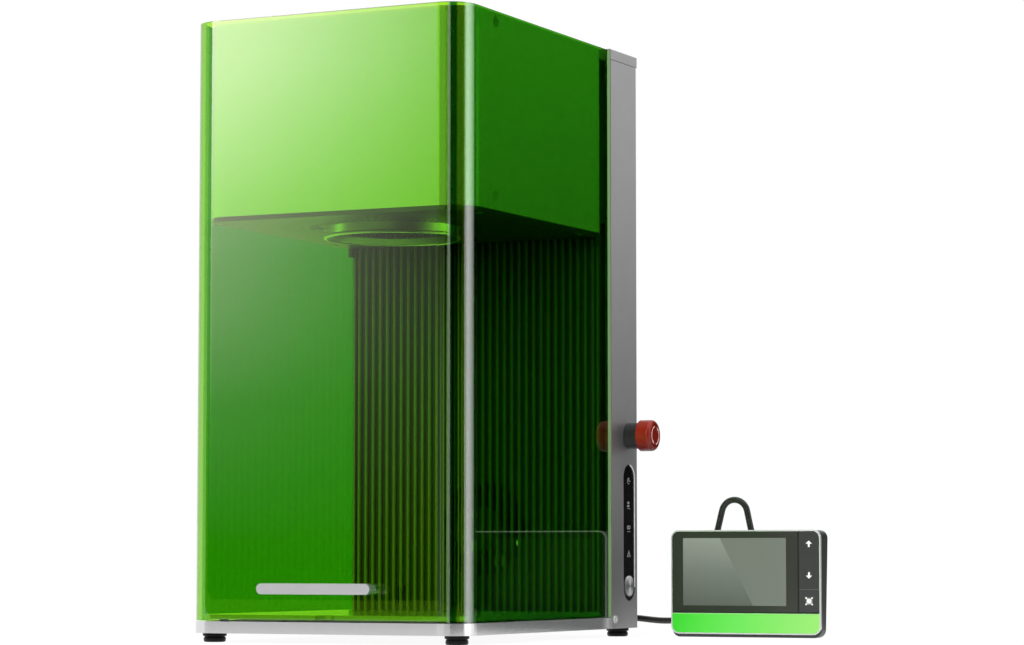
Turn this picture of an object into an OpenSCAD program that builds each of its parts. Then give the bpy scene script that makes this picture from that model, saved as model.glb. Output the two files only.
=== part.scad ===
// Desktop laser cutter with a lifting acrylic cover, a height-adjusted laser head
// on a rear column, and a corded touch controller standing beside it.
// Millimetres. X to the right, Y to the back, Z up from the table.
// Inside the modules x = 0 is the machine's centre plane and y = 0 the middle of its depth;
// placed() then moves everything so that the origin lies under the middle of the whole set.

/* [Overall] */
// Width of the base and the column
base_w = 270; // [240:1:330]
// Depth of the base in front of the column
base_d = 299.5; // [260:0.5:360]
// Height from the table to the top of the column cap
total_h = 542; // [500:1:650]
// Depth of the rear column
column_d = 61; // [60:0.5:80]
// Running gap between pieces that move past each other
run_gap = 0.3; // [0.3:0.05:0.4]

/* [Base] */
// Height of the rubber feet
foot_h = 8; // [6:0.5:12]
// Diameter of the feet
foot_d = 21; // [16:0.5:26]
// Distance from the side of the base to the foot centres
foot_side = 17; // [14:0.5:24]
// Distance from the front of the base to the front foot centres
foot_front = 22; // [16:0.5:40]
// Distance from the back of the column to the rear foot centres
foot_rear = 11; // [11:0.5:24]
// Height of the aluminium base rail
rail_h = 10.2; // [9:0.2:16]
// Thickness of the base rail
rail_t = 8; // [6:0.5:8]
// Radius of the front corners of the base
base_r = 25; // [20:0.5:30]
// Thickness of the steel bottom plate
bottom_t = 2.5; // [1.5:0.5:4]
// Thickness of the work bed
bed_t = 4; // [3:0.5:6]
// Height of the bed surface above the base rail
bed_rise = 5.8; // [5:0.2:9]

/* [Cover] */
// Thickness of the acrylic cover
cover_t = 4.5; // [4:0.1:5.4]
// Step from the side of the base in to the cover
cover_inset = 0.5; // [0.3:0.1:1]
// Height of the top of the cap above the top of the cover
cover_drop = 2; // [1:0.5:8]
// Travel of the cover when it is lifted
cover_travel = 250; // [150:10:280]
// Depth of the aluminium channels on the back edges of the cover
channel_d = 6.6; // [6.6:0.1:9]
// Wall of those channels
channel_wall = 0.8; // [0.6:0.1:0.9]

/* [Handle] */
// Length of the handle bar
handle_l = 109.5; // [80:0.5:140]
// Height of the handle bar
handle_h = 9.2; // [8:0.2:14]
// Thickness of the handle bar
handle_t = 6.5; // [5:0.5:9]
// Gap for the fingers behind the bar
handle_gap = 9; // [8:0.5:30]
// Height of the handle's centre above the table
handle_z = 46.5; // [40:0.5:90]
// Diameter of the handle posts
post_d = 7; // [5:0.5:9]

/* [Laser head] */
// Gap between the side of the base and the side of the head
head_side = 5.8; // [5.5:0.1:14]
// Distance from the front of the base to the front of the head
head_front = 14; // [8:0.5:30]
// Height of the head casing without its bottom plate
head_h = 170; // [150:1:190]
// Gap between the top of the cover and the top of the head
head_drop = 0.8; // [0.4:0.1:12]
// Wall of the head casing
head_t = 2.5; // [2:0.5:4]
// Radius of the head's front corners
head_r = 24; // [20:0.5:30]
// Thickness of the head's bottom plate
head_plate_t = 4; // [3:0.5:6]
// Focus travel of the head, downwards from rest
focus_travel = 160; // [100:5:160]
// Distance from the front of the base to the lens axis
lens_front = 131; // [100:1:150]
// Diameter of the ring around the lens
ring_d = 125; // [104:1:140]
// Height of the ring under the head
ring_h = 10; // [6:0.5:16]
// Diameter of the scan lens
lens_d = 70; // [50:1:72]
// Number of radial fins inside the ring
fin_count = 60; // [24:1:90]

/* [Column] */
// Wall of the column shell
column_t = 2.5; // [2:0.5:3]
// Height of the column cap
cap_h = 9.7; // [8:0.1:14]
// Overhang of the cap behind the column
cap_over = 2.3; // [1:0.1:5]
// Radius of the column's rear corners
column_r = 5; // [3:0.5:8]
// Seam under the column cap
seam = 0.5; // [0.3:0.1:1]

/* [Back wall] */
// Distance from the front of the column to the front of the ribs
wall_stand = 15.2; // [13:0.2:18]
// Spacing of the ribs
rib_pitch = 7.5; // [6:0.1:12]
// Width of a rib
rib_w = 3; // [2:0.1:4.5]
// Depth of the ribs
rib_d = 5; // [3:0.5:6]
// Thickness of the wall behind the ribs
wall_t = 2; // [1.5:0.5:3]
// Width of the flat land at each edge of the wall
land_w = 2; // [1.5:0.5:12]

/* [Exhaust] */
// Outer diameter of the fan vent
vent_d = 88; // [70:1:100]
// Diameter of the hub in the middle of the vent
hub_d = 41; // [30:1:50]
// Height of the fan axis above the table
fan_z = 99.3; // [70:0.5:110]
// Offset of the fan axis from the centre plane
fan_x = 5; // [-8:0.5:10]
// Outer diameter of the hose spigot
spigot_d = 74; // [60:1:90]
// Length of the spigot behind the column
spigot_l = 24; // [15:1:40]
// Wall of the spigot
spigot_t = 2.5; // [2:0.5:4]
// Number of fan blades
blade_count = 7; // [5:1:11]

/* [Side controls] */
// Height of the emergency stop axis above the table
estop_z = 185.2; // [176:0.5:260]
// Distance from the back of the column to the emergency stop axis
estop_back = 23; // [20:0.5:30]
// Diameter of the emergency stop collar
collar_d = 24; // [20:0.5:28]
// Length of the collar outside the column
collar_l = 12.7; // [8:0.1:20]
// Overhang of the red button all round its collar
button_rim = 2.4; // [1.6:0.1:5]
// Length of the red button
button_l = 14; // [12:0.5:24]
// Width of the status strip
strip_w = 25.2; // [20:0.2:28]
// Length of the status strip
strip_l = 125.6; // [100:0.2:140]
// Height of the strip's centre above the table
strip_z = 95.8; // [80:0.2:100]
// Distance from the back of the column to the strip's centre line
strip_back = 22; // [20:0.5:30]
// Diameter of the power button
power_d = 18.8; // [14:0.2:20]

/* [Controller] */
// Width of the controller
pad_w = 147; // [130:1:180]
// Height of the controller
pad_h = 98; // [90:1:120]
// Depth of the controller at its top edge
pad_top_d = 20; // [18:0.5:28]
// Depth of the controller at its bottom edge
pad_foot_d = 13.5; // [12:0.5:20]
// Radius of the controller's corners
pad_r = 7.5; // [4:0.5:9]
// Gap between the column and the controller
pad_gap = 32.5; // [20:0.5:60]
// Width of the key column
key_w = 19.5; // [14:0.5:24]
// Height of the green strip
pad_strip_h = 19.2; // [12:0.2:24]
// Thickness of the controller's glass, strip and bezel lip
glass_t = 3.4; // [2.5:0.1:4]
// Diameter of the cord
cord_d = 6; // [5:0.5:7]

/* [Drive] */
// Diameter of the lead screw
screw_d = 8; // [6:0.5:10]
// Side of the focus motor
motor_w = 42; // [35:1:44]
// Length of the focus motor
motor_l = 40; // [30:1:48]
// Distance of the linear rails from the centre plane
rail_x = 85; // [60:1:95]
// Width of a linear rail
lin_w = 12; // [9:1:15]
// Height of a linear rail
lin_h = 8; // [6:0.5:8]

/* [Hidden] */
$fn = 64;

half_w = base_w / 2;
front_y = -(base_d + column_d) / 2;
column_y0 = front_y + base_d;
column_y1 = column_y0 + column_d;
rail_top = foot_h + rail_h;
bed_top = rail_top + bed_rise;
cover_top = total_h - cover_drop;
column_top = total_h - cap_h - seam;
snug = 0.1;
slack = 0.05;

// Cover and its guides, measured outwards from the centre plane
cover_out = half_w - cover_inset;
cover_in = cover_out - cover_t;
cover_z0 = rail_top + 2 * run_gap;
cover_r = base_r - cover_inset;
cover_y0 = front_y + cover_inset;
channel_y1 = column_y0 - run_gap;
channel_y0 = channel_y1 - channel_d;
lip_d = 0.9;
web_d = 1.2;
tongue_w = cover_t - 2 * channel_wall - 2 * run_gap;
lip_w = 0.5;
stem_w = tongue_w - 2 * lip_w;
tongue_x = cover_out - cover_t / 2;

// Head and its arms
head_top = cover_top - head_drop;
head_z0 = head_top - head_h;
head_base = head_z0 - head_plate_t;
head_half = half_w - head_side;
head_y0 = front_y + head_front;
wall_y0 = column_y0 - wall_stand;
arm_t = 4.2;
arm_y1 = wall_y0 - 2 * run_gap;
arm_y0 = arm_y1 - arm_t;
head_y1 = arm_y0;
arm_out = cover_in - 1;
arm_w = 11.6;
arm_foot_w = 3.6;
arm_in = arm_out - arm_w;
arm_z0 = head_base - 8;
arm_z1 = column_top - 1;
web_t = 2.2;
web_in = arm_out - web_t;
web_z0 = head_z0 + 10;
web_z1 = web_z0 + 130;
lens_y = front_y + lens_front;
ring_z0 = head_base - ring_h;
plate_hole_r = ring_d / 2 - 14;
barrel_r = lens_d / 2 + 5;

// Column interior
inner_x = half_w - column_t;
inner_y0 = column_y0 + column_t;
panel_t = 2.5;
panel_x = half_w - 7;
flange_w = 10;
panel_y0 = column_y1 - panel_t;
flange_t = 2.6;
slot_in = web_in - 0.4;
slot_out = arm_out + 0.6;
bottom_z0 = foot_h + run_gap;
bottom_z1 = bottom_z0 + bottom_t;
slot_z0 = bottom_z1 + 20;
slot_z1 = column_top - 4;

// Ribbed wall
wall_z0 = bed_top - 1;
wall_z1 = column_top - 1;
wall_half = slot_in - 0.4;
rib_field = wall_half - land_w - rib_w / 2;
rib_n = floor(rib_field / rib_pitch);
port_x = -73.7;
port_z = bed_top + 13;
port_w = 13;
port_h = 18;

// Fan
fan_frame_w = vent_d + 4;
fan_y0 = inner_y0 + run_gap;
fan_t = 25;
fan_y1 = fan_y0 + fan_t;
rotor_tip = vent_d / 2 - 2;
rotor_y0 = fan_y0 + 3;
rotor_t = 15;
shaft_r = 2;
stator_t = 4;

// Focus drive
screw_r = screw_d / 2;
carriage_y0 = inner_y0 + lin_h + 5.75;
carriage_t = 5;
carriage_y1 = carriage_y0 + carriage_t;
screw_y = carriage_y1 + 11;
shelf_t = 4;
motor_z1 = fan_z + fan_frame_w / 2 + 6 + motor_l;
shelf_z = motor_z1 + run_gap;
coupling_z0 = shelf_z + shelf_t + 2;
coupling_h = 22;
screw_z1 = column_top - 8;
nut_z = web_z0 + 60;
nut_block_h = 16;
nut_r = screw_r + 1.1;
block_h = 30;
lin_z0 = web_z0 - focus_travel - 10;
lin_z1 = column_top - 8;

// Side controls
estop_y = column_y1 - estop_back;
strip_y = column_y1 - strip_back;
power_z = strip_z - strip_l / 2 + strip_w / 2 + 1;
thread_r = collar_d / 2 - 1.2;
stem_r = 5;
tip_r = 3;
push_travel = 4;
collar_x = half_w + snug;
button_x0 = collar_x + collar_l + run_gap;
button_skirt = 5.3;
button_crown = 4.6;

// Controller, which stands with its face level with the back of the column
pad_x0 = half_w + pad_gap;
pad_x1 = pad_x0 + pad_w;
pad_y0 = column_y1;
pad_cx = (pad_x0 + pad_x1) / 2;
pad_foot = 2.8;
lip_t = 1.2;
bezel_d = 3;
pad_wall = 1.8;
key_x0 = pad_x1 - lip_t - run_gap - key_w;
key_x1 = pad_x1 - lip_t - run_gap;
strip_z0 = pad_foot + lip_t;
strip_z1 = strip_z0 + pad_strip_h;
frame_key_h = 20.5;
key_t = 2.6;
ledge_y = pad_y0 + 0.2 + glass_t + snug;
ledge_t = 1.2;

// Extent of the rigid pieces, which sets the origin
set_x0 = -half_w;
set_x1 = pad_x1;
set_y0 = cover_y0 - handle_gap - handle_t;
set_y1 = max(column_y1 + spigot_l, pad_y0 + pad_top_d);
centre_x = (set_x0 + set_x1) / 2;
centre_y = (set_y0 + set_y1) / 2;

// Cord, from the gland behind the column to the gland behind the controller
cord_route = [
    [110, 195.5, 17], [110, 201, 17], [111.5, 206, 16.8], [115, 210, 16.5], [120, 212.5, 16],
    [126, 213.5, 15.4], [134, 213.5, 14.6], [143, 213, 14], [152, 212.5, 14],
    [160, 212, 14.6], [168, 211.5, 17], [175, 211, 21.5], [180.5, 210.5, 27.5],
    [184.5, 210, 35], [187.5, 209.5, 44], [190.5, 209, 54], [193.5, 208.5, 65],
    [196.5, 208, 76], [199.5, 208, 87], [202.7, 208, 98], [205.3, 208, 108],
    [207.6, 208, 117], [209.4, 208, 120.7], [212.2, 208, 123.7], [215.8, 208, 125.6],
    [219.8, 208, 126.2], [223.8, 208, 125.6], [227.4, 208, 123.7], [230.2, 208, 120.7],
    [232, 208, 117], [234, 208, 108], [236.3, 208, 98], [238.7, 208, 89], [241, 208, 81],
    [243, 208, 74.5], [244, 208, 70], [244, 208, 66.3]
];
cord_from = cord_route[0];
cord_to = cord_route[len(cord_route) - 1];
gland_x = cord_from[0];
gland_z = cord_from[2];
gland_l = 15;
gland_r = 4.5;
pad_gland_x = cord_to[0];
pad_gland_y = cord_to[1];
pad_gland_z = cord_to[2] - run_gap;
cord_sides = 10;

// Colours
silver = [0.72, 0.72, 0.73];
grey = [0.55, 0.55, 0.56];
dark = [0.2, 0.2, 0.21];
black = [0.07, 0.07, 0.07];
steel = [0.6, 0.61, 0.63];
brass = [0.75, 0.6, 0.3];
red = [0.65, 0.13, 0.09];
lime = [0.3, 0.85, 0.22];
acrylic = [0.3, 0.75, 0.1, 0.45];

module placed() {
    translate([-centre_x, -centre_y, 0]) children();
}

module block(x0, x1, y0, y1, z0, z1) {
    translate([x0, y0, z0]) cube([x1 - x0, y1 - y0, z1 - z0]);
}

module rod_x(r, x0, x1, y, z) {
    translate([x0, y, z]) rotate([0, 90, 0]) cylinder(r = r, h = x1 - x0);
}

module rod_y(r, y0, y1, x, z) {
    translate([x, y0, z]) rotate([-90, 0, 0]) cylinder(r = r, h = y1 - y0);
}

module rod_z(r, z0, z1, x, y) {
    translate([x, y, z0]) cylinder(r = r, h = z1 - z0);
}

module both_sides() {
    children();
    mirror([1, 0, 0]) children();
}

// Outline with rounded front corners and square back corners
module footprint(half, y0, y1, r) {
    translate([-half, y0 + r]) square([2 * half, y1 - y0 - r]);
    translate([-half + r, y0]) square([2 * (half - r), r]);
    for (s = [-1, 1]) translate([s * (half - r), y0 + r]) circle(r = r);
}

module rounded(w, h, r) {
    square([w - 2 * r, h], center = true);
    square([w, h - 2 * r], center = true);
    for (sx = [-1, 1], sy = [-1, 1])
        translate([sx * (w / 2 - r), sy * (h / 2 - r)]) circle(r = r);
}

// Upright plate: a rounded rectangle in X and Z, from y0 to y1
module upright(x0, x1, z0, z1, r, y0, y1) {
    translate([(x0 + x1) / 2, y1, (z0 + z1) / 2]) rotate([90, 0, 0])
        linear_extrude(y1 - y0) rounded(x1 - x0, z1 - z0, r);
}

// Upright stadium on the column's right side, from x0 to x1
module side_stadium(w, l, x0, x1) {
    translate([x0, strip_y, strip_z]) rotate([90, 0, 90])
        linear_extrude(x1 - x0) rounded(w, l, w / 2 - 0.01);
}

// ---------- base ----------

module base_frame() color(silver) placed()
    translate([0, 0, foot_h]) linear_extrude(rail_h) difference() {
        footprint(half_w, front_y, column_y0 - run_gap, base_r);
        footprint(half_w - rail_t, front_y + rail_t, column_y0 + 1, base_r - rail_t);
    }

module bottom_plate() color(steel) placed() {
    x = half_w - rail_t - run_gap;
    y0 = front_y + rail_t + run_gap;
    translate([0, 0, bottom_z0]) linear_extrude(bottom_t)
        footprint(x, y0, panel_y0 - flange_t - run_gap, base_r - rail_t - run_gap);
    post_r = 4;
    for (px = [-1, 1] * (x - 14), py = [y0 + 22, lens_y, wall_y0 - 24])
        rod_z(post_r, bottom_z1, bed_top - bed_t, px, py);
}

module work_bed() color(silver) placed() {
    gap = 3;
    notch_r = 9;
    difference() {
        translate([0, 0, bed_top - bed_t]) linear_extrude(bed_t) difference() {
            footprint(cover_in - gap, cover_y0 + cover_t + gap, wall_y0 - 1, cover_r - cover_t - gap);
            translate([0, cover_y0 + cover_t + gap]) circle(r = notch_r);
        }
        groove = 0.4;
        step = 20;
        for (k = [-4:4])
            translate([k * step, lens_y, bed_top]) cube([0.6, 8 * step, 2 * groove], center = true);
        for (k = [-4:4])
            translate([0, lens_y + k * step, bed_top]) cube([8 * step, 0.6, 2 * groove], center = true);
    }
}

module foot() {
    r = foot_d / 2;
    neck = foot_h * 0.6;
    rotate_extrude() polygon([
        [0, 0], [r - 2, 0], [r - 1, 0.8], [r - 0.8, 2], [r - 0.8, neck - 1.2], [r - 1.6, neck - 0.4],
        [r - 1.6, neck], [r - 0.4, neck + 0.4], [r, neck + 1], [r, foot_h - 0.6], [r - 0.6, foot_h],
        [0, foot_h]
    ]);
}

module feet() color(black) placed()
    for (x = [-1, 1] * (half_w - foot_side), y = [front_y + foot_front, column_y1 - foot_rear])
        translate([x, y, 0]) foot();

// ---------- column ----------

module column_shell() color(grey) placed() difference() {
    translate([0, (column_y0 + column_y1) / 2, foot_h]) linear_extrude(column_top - foot_h) {
        half = column_d / 2;
        translate([-half_w, -half]) square([base_w, column_d - column_r]);
        translate([-half_w + column_r, 0]) square([base_w - 2 * column_r, half]);
        for (s = [-1, 1]) translate([s * (half_w - column_r), half - column_r]) circle(r = column_r);
    }
    block(-inner_x, inner_x, inner_y0, panel_y0 - flange_t, foot_h - 1, column_top + 1);
    block(-panel_x, panel_x, panel_y0, column_y1 + 1, foot_h + 4, column_top - 4);
    block(-panel_x + flange_w, panel_x - flange_w, inner_y0, column_y1, foot_h + 16, column_top - 14);
    panel_screw_places() rod_y(1.6, panel_y0 - flange_t - 1, panel_y0 + 1, 0, 0);
    rod_y(gland_r + snug, panel_y0 - flange_t - 1, panel_y0 + 1, gland_x, gland_z);
    block(-inner_x + 4, inner_x - 4, column_y0 - 1, inner_y0 + 1, foot_h - 1, bottom_z1 + run_gap);
    both_sides() block(slot_in, slot_out, column_y0 - 1, inner_y0 + 1, slot_z0, slot_z1);
    rod_y(vent_d / 2, column_y0 - 1, inner_y0 + 1, fan_x, fan_z);
    rod_x(thread_r + snug, inner_x - 1, half_w + 1, estop_y, estop_z);
    side_stadium(strip_w + 2 * snug, strip_l + 2 * snug, inner_x - 1, half_w + 1);
    both_sides() rod_x(2.1, inner_x - 1, half_w + 1, column_y0 + 7, 16.4);
}

module column_cap() color(grey) placed() {
    z0 = column_top + seam;
    y1 = column_y1 + cap_over;
    chamfer = 0.8;
    intersection() {
        translate([0, 0, z0]) linear_extrude(cap_h) {
            translate([-half_w, column_y0 + 1]) square([base_w, y1 - column_y0 - 1 - column_r]);
            translate([-half_w + 1, column_y0]) square([base_w - 2, 2]);
            for (s = [-1, 1]) translate([s * (half_w - 1), column_y0 + 1]) circle(r = 1);
            for (s = [-1, 1]) translate([s * (half_w - column_r), y1 - column_r]) circle(r = column_r);
            translate([-half_w + column_r, y1 - column_r - 1]) square([base_w - 2 * column_r, column_r + 1]);
        }
        translate([0, y1 + 1, 0]) rotate([90, 0, 0]) linear_extrude(y1 - column_y0 + 2) polygon([
            [-half_w, z0], [half_w, z0], [half_w, total_h - chamfer], [half_w - chamfer, total_h],
            [-half_w + chamfer, total_h], [-half_w, total_h - chamfer]
        ]);
    }
    lip = 2;
    translate([0, 0, column_top - 6]) linear_extrude(6 + seam) difference() {
        x = inner_x - run_gap;
        translate([-x, inner_y0 + run_gap])
            square([2 * x, panel_y0 - flange_t - inner_y0 - 2 * run_gap]);
        translate([-x + lip, inner_y0 + run_gap + lip])
            square([2 * (x - lip), panel_y0 - flange_t - inner_y0 - 2 * run_gap - 2 * lip]);
    }
}

// Vent slots, screw holes and cut-outs of the removable rear panel
inlet_x = -88;
inlet_z = 46;
inlet_w = 50;
inlet_h = 28;

module panel_screw_places() {
    x = panel_x - 5;
    for (sx = [-1, 1], z = [foot_h + 9, 150, 290, 410, column_top - 9]) translate([sx * x, 0, z]) children();
}

module rear_panel() color(dark) placed() difference() {
    x = panel_x - run_gap;
    upright(-x, x, foot_h + 4 + run_gap, column_top - 4 - run_gap, 2, panel_y0 + snug, column_y1 - 0.2);
    rod_y(spigot_d / 2 + snug, panel_y0 - 1, column_y1 + 1, fan_x, fan_z);
    block(inlet_x - inlet_w / 2, inlet_x + inlet_w / 2, panel_y0 - 1, column_y1 + 1,
        inlet_z - inlet_h / 2, inlet_z + inlet_h / 2);
    rod_y(gland_r + snug, panel_y0 - 1, column_y1 + 1, gland_x, gland_z);
    panel_screw_places() rod_y(1.6, panel_y0 - 1, column_y1 + 1, 0, 0);
    slot_l = 34;
    for (sx = [-1, 1], k = [0:7])
        upright(sx * 62 - slot_l / 2, sx * 62 + slot_l / 2, 204 + k * 9, 207.5 + k * 9, 1.7,
            panel_y0 - 1, column_y1 + 1);
}

module column_screws() color(silver) placed() both_sides() {
    difference() {
        union() {
            rod_x(3.6, half_w, half_w + 1, column_y0 + 7, 16.4);
            rod_x(2, half_w - 9, half_w, column_y0 + 7, 16.4);
        }
        translate([half_w + 0.4, column_y0 + 7, 16.4]) rotate([0, 90, 0]) cylinder(r = 1.6, h = 2, $fn = 6);
    }
}

module rear_screws() color(steel) placed() panel_screw_places() {
    rod_y(1.5, panel_y0 - flange_t, column_y1 - 0.2, 0, 0);
    difference() {
        rod_y(3, column_y1 - 0.2, column_y1 + 1.6, 0, 0);
        translate([0, column_y1 + 0.8, 0]) rotate([-90, 0, 0]) cylinder(r = 1.3, h = 2, $fn = 6);
    }
}

module back_wall() color(black) placed() difference() {
    y1 = wall_y0 + rib_d + wall_t;
    union() {
        block(-wall_half, wall_half, wall_y0 + rib_d, y1, wall_z0, wall_z1);
        both_sides() block(wall_half - land_w, wall_half, wall_y0, column_y0 - snug, wall_z0, wall_z1);
        for (k = [-rib_n:rib_n]) translate([k * rib_pitch, 0, wall_z0]) linear_extrude(wall_z1 - wall_z0) {
            r = rib_w / 2;
            translate([-r, wall_y0 + r]) square([rib_w, rib_d - r + wall_t / 2]);
            translate([0, wall_y0 + r]) circle(r = r, $fn = 24);
        }
    }
    difference() {
        rod_y(vent_d / 2, wall_y0 + rib_d - snug, y1 + 1, fan_x, fan_z);
        rod_y(hub_d / 2, wall_y0, y1 + 2, fan_x, fan_z);
        for (k = [-rib_n:rib_n])
            block(k * rib_pitch - rib_w / 2, k * rib_pitch + rib_w / 2, wall_y0, y1 + 2,
                fan_z - vent_d, fan_z + vent_d);
    }
    upright(port_x - port_w / 2, port_x + port_w / 2, port_z - port_h / 2, port_z + port_h / 2,
        2, wall_y0 + rib_d - snug, y1 + 1);
}

// T-section rails on the column that the cover's channels run on
module cover_rails() color(black) placed() both_sides()
    translate([0, 0, cover_z0]) linear_extrude(column_top - 2 - cover_z0) {
        head_y0 = channel_y0 + web_d + run_gap;
        head_y1 = channel_y1 - lip_d - run_gap - 0.1;
        translate([tongue_x - tongue_w / 2, head_y0]) square([tongue_w, head_y1 - head_y0]);
        translate([tongue_x - stem_w / 2, head_y0]) square([stem_w, column_y0 - head_y0]);
    }

// ---------- focus drive in the column ----------

module linear_rails() color(steel) placed() both_sides()
    difference() {
        block(rail_x - lin_w / 2, rail_x + lin_w / 2, inner_y0, inner_y0 + lin_h, lin_z0, lin_z1);
        for (s = [-1, 1]) translate([rail_x + s * lin_w / 2, inner_y0 + lin_h * 0.55, (lin_z0 + lin_z1) / 2])
            cube([1.6, 1.6, lin_z1 - lin_z0 + 2], center = true);
    }

module screw_brackets() color(dark) placed() {
    half = motor_w / 2 + 5;
    difference() {
        union() {
            block(-half, half, inner_y0, screw_y + motor_w / 2, shelf_z, shelf_z + shelf_t);
            block(-half, half, inner_y0, inner_y0 + 3, shelf_z, shelf_z + 30);
        }
        rod_z(11.5, shelf_z - 1, shelf_z + shelf_t + 1, 0, screw_y);
    }
    bearing_h = 8;
    difference() {
        block(-14, 14, inner_y0, screw_y + 12, screw_z1 - bearing_h, screw_z1);
        rod_z(screw_r + slack, screw_z1 - bearing_h - 1, screw_z1 + 1, 0, screw_y);
    }
}

module focus_motor() color(black) placed() difference() {
    cut = 4;
    w = motor_w / 2;
    union() {
        translate([0, screw_y, motor_z1 - motor_l]) linear_extrude(motor_l) polygon([
            [-w + cut, -w], [w - cut, -w], [w, -w + cut], [w, w - cut],
            [w - cut, w], [-w + cut, w], [-w, w - cut], [-w, -w + cut]
        ]);
        rod_z(11, motor_z1, motor_z1 + 2, 0, screw_y);
    }
    rod_z(2.55, motor_z1 - 20, motor_z1 + 3, 0, screw_y);
}

module screw_coupling() color(silver) placed() {
    rod_z(2.5, motor_z1 - 19, coupling_z0 + 4, 0, screw_y);
    difference() {
        rod_z(9, coupling_z0, coupling_z0 + coupling_h, 0, screw_y);
        rod_z(screw_r + snug, coupling_z0 + 10, coupling_z0 + coupling_h + 1, 0, screw_y);
    }
}

module lead_screw() color(steel) placed()
    rod_z(screw_r, coupling_z0 + 10 + snug, screw_z1 + 2, 0, screw_y);

// ---------- exhaust ----------

module fan_frame() color(black) placed() difference() {
    w = fan_frame_w / 2;
    union() {
        difference() {
            upright(fan_x - w, fan_x + w, fan_z - w, fan_z + w, 4, fan_y0, fan_y1);
            rod_y(vent_d / 2 - snug, fan_y0 - 1, fan_y1 + 1, fan_x, fan_z);
            for (sx = [-1, 1], sz = [-1, 1])
                rod_y(2.1, fan_y0 - 1, fan_y1 + 1, fan_x + sx * (w - 5), fan_z + sz * (w - 5));
        }
        rod_y(hub_d / 2 - 1, fan_y1 - stator_t, fan_y1, fan_x, fan_z);
        for (k = [0:3]) translate([fan_x, fan_y1 - stator_t, fan_z]) rotate([0, 45 + k * 90, 0])
            translate([0, 0, -2]) cube([vent_d / 2 + 1, stator_t - 1, 4]);
    }
    rod_y(shaft_r + slack, fan_y1 - stator_t - 1, fan_y1 - 0.8, fan_x, fan_z);
}

module fan_rotor() color(dark) placed() {
    r = hub_d / 2;
    difference() {
        rod_y(r, rotor_y0, rotor_y0 + rotor_t, fan_x, fan_z);
        rod_y(r - 2, rotor_y0 + 2, rotor_y0 + rotor_t + 1, fan_x, fan_z);
    }
    rod_y(shaft_r, rotor_y0, fan_y1 - 1, fan_x, fan_z);
    intersection() {
        difference() {
            rod_y(rotor_tip, rotor_y0 + 0.5, rotor_y0 + rotor_t - 0.5, fan_x, fan_z);
            rod_y(r - 1, rotor_y0, rotor_y0 + rotor_t, fan_x, fan_z);
        }
        for (k = [0:blade_count - 1]) translate([fan_x, rotor_y0 + rotor_t / 2, fan_z])
            rotate([0, k * 360 / blade_count, 0]) rotate([38, 0, 0])
                translate([0, -1, -14]) cube([rotor_tip + 1, 2, 28]);
    }
}

module exhaust_spigot() color(black) placed() difference() {
    r = spigot_d / 2;
    union() {
        rod_y(r, fan_y1 + snug, column_y1 + spigot_l, fan_x, fan_z);
        rod_y(r + 8, column_y1, column_y1 + 2.5, fan_x, fan_z);
        rod_y(r + 3, fan_y1 + snug, fan_y1 + 3, fan_x, fan_z);
    }
    rod_y(r - spigot_t, fan_y1 - 1, column_y1 + spigot_l + 1, fan_x, fan_z);
}

// ---------- power and electronics ----------

module power_inlet() color(black) placed() difference() {
    x0 = inlet_x - inlet_w / 2;
    x1 = inlet_x + inlet_w / 2;
    z0 = inlet_z - inlet_h / 2;
    z1 = inlet_z + inlet_h / 2;
    depth = 22;
    union() {
        upright(x0 - 3, x1 + 3, z0 - 3, z1 + 3, 3, column_y1, column_y1 + 2);
        block(x0 + run_gap, x1 - run_gap, column_y1 - depth, column_y1 + 1, z0 + run_gap, z1 - run_gap);
    }
    difference() {
        upright(x0 + 3, x0 + 27.5, inlet_z - 8.2, inlet_z + 8.2, 2.5, column_y1 - 15, column_y1 + 3);
        for (p = [[-7, -2], [0, 2], [7, -2]])
            block(x0 + 15.25 + p[0] - 1, x0 + 15.25 + p[0] + 1, column_y1 - 16, column_y1 - 6,
                inlet_z + p[1] - 2, inlet_z + p[1] + 2);
    }
    block(x1 - 19, x1 - 5, column_y1 - 14, column_y1 + 3, inlet_z - 10.5, inlet_z + 10.5);
}

// Rocker of the mains switch, tilted about a pin behind the panel
switch_x = inlet_x + inlet_w / 2 - 12;
switch_y = column_y1 - 5;

module mains_switch() color(dark) placed() {
    translate([switch_x - 6.7, switch_y, inlet_z]) rotate([90, 0, 90]) linear_extrude(13.4) polygon([
        [-6, -7], [5, -9], [8.2, -9], [5.6, 0], [8.2, 9], [5, 9], [-6, 7]
    ]);
}

module power_supply() color(silver) placed() {
    z0 = bottom_z1 + snug;
    difference() {
        block(-inner_x + 8, fan_x - fan_frame_w / 2 - 10, inner_y0 + 4, panel_y0 - 26, z0, z0 + 150);
        for (k = [0:9], s = [0:3])
            rod_y(2, inner_y0 + 3, inner_y0 + 5, -inner_x + 22 + s * 9, z0 + 24 + k * 11);
    }
}

module main_board() color([0.1, 0.35, 0.2]) placed() {
    z0 = motor_z1 + 14;
    y1 = panel_y0 - 7;
    x0 = 42;
    w = 70;
    h = 120;
    t = 1.6;
    block(x0, x0 + w, y1 - t, y1, z0, z0 + h);
    for (x = [x0 + 6, x0 + w - 6], z = [z0 + 6, z0 + h - 6]) rod_y(3, y1, panel_y0, x, z);
    block(x0 + 8, x0 + 32, y1 - 7, y1 - t, z0 + 60, z0 + 84);
    block(x0 + 40, x0 + 64, y1 - 10, y1 - t, z0 + 14, z0 + 26);
    block(x0 + 8, x0 + 22, y1 - 9, y1 - t, z0 + 20, z0 + 40);
}

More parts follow.
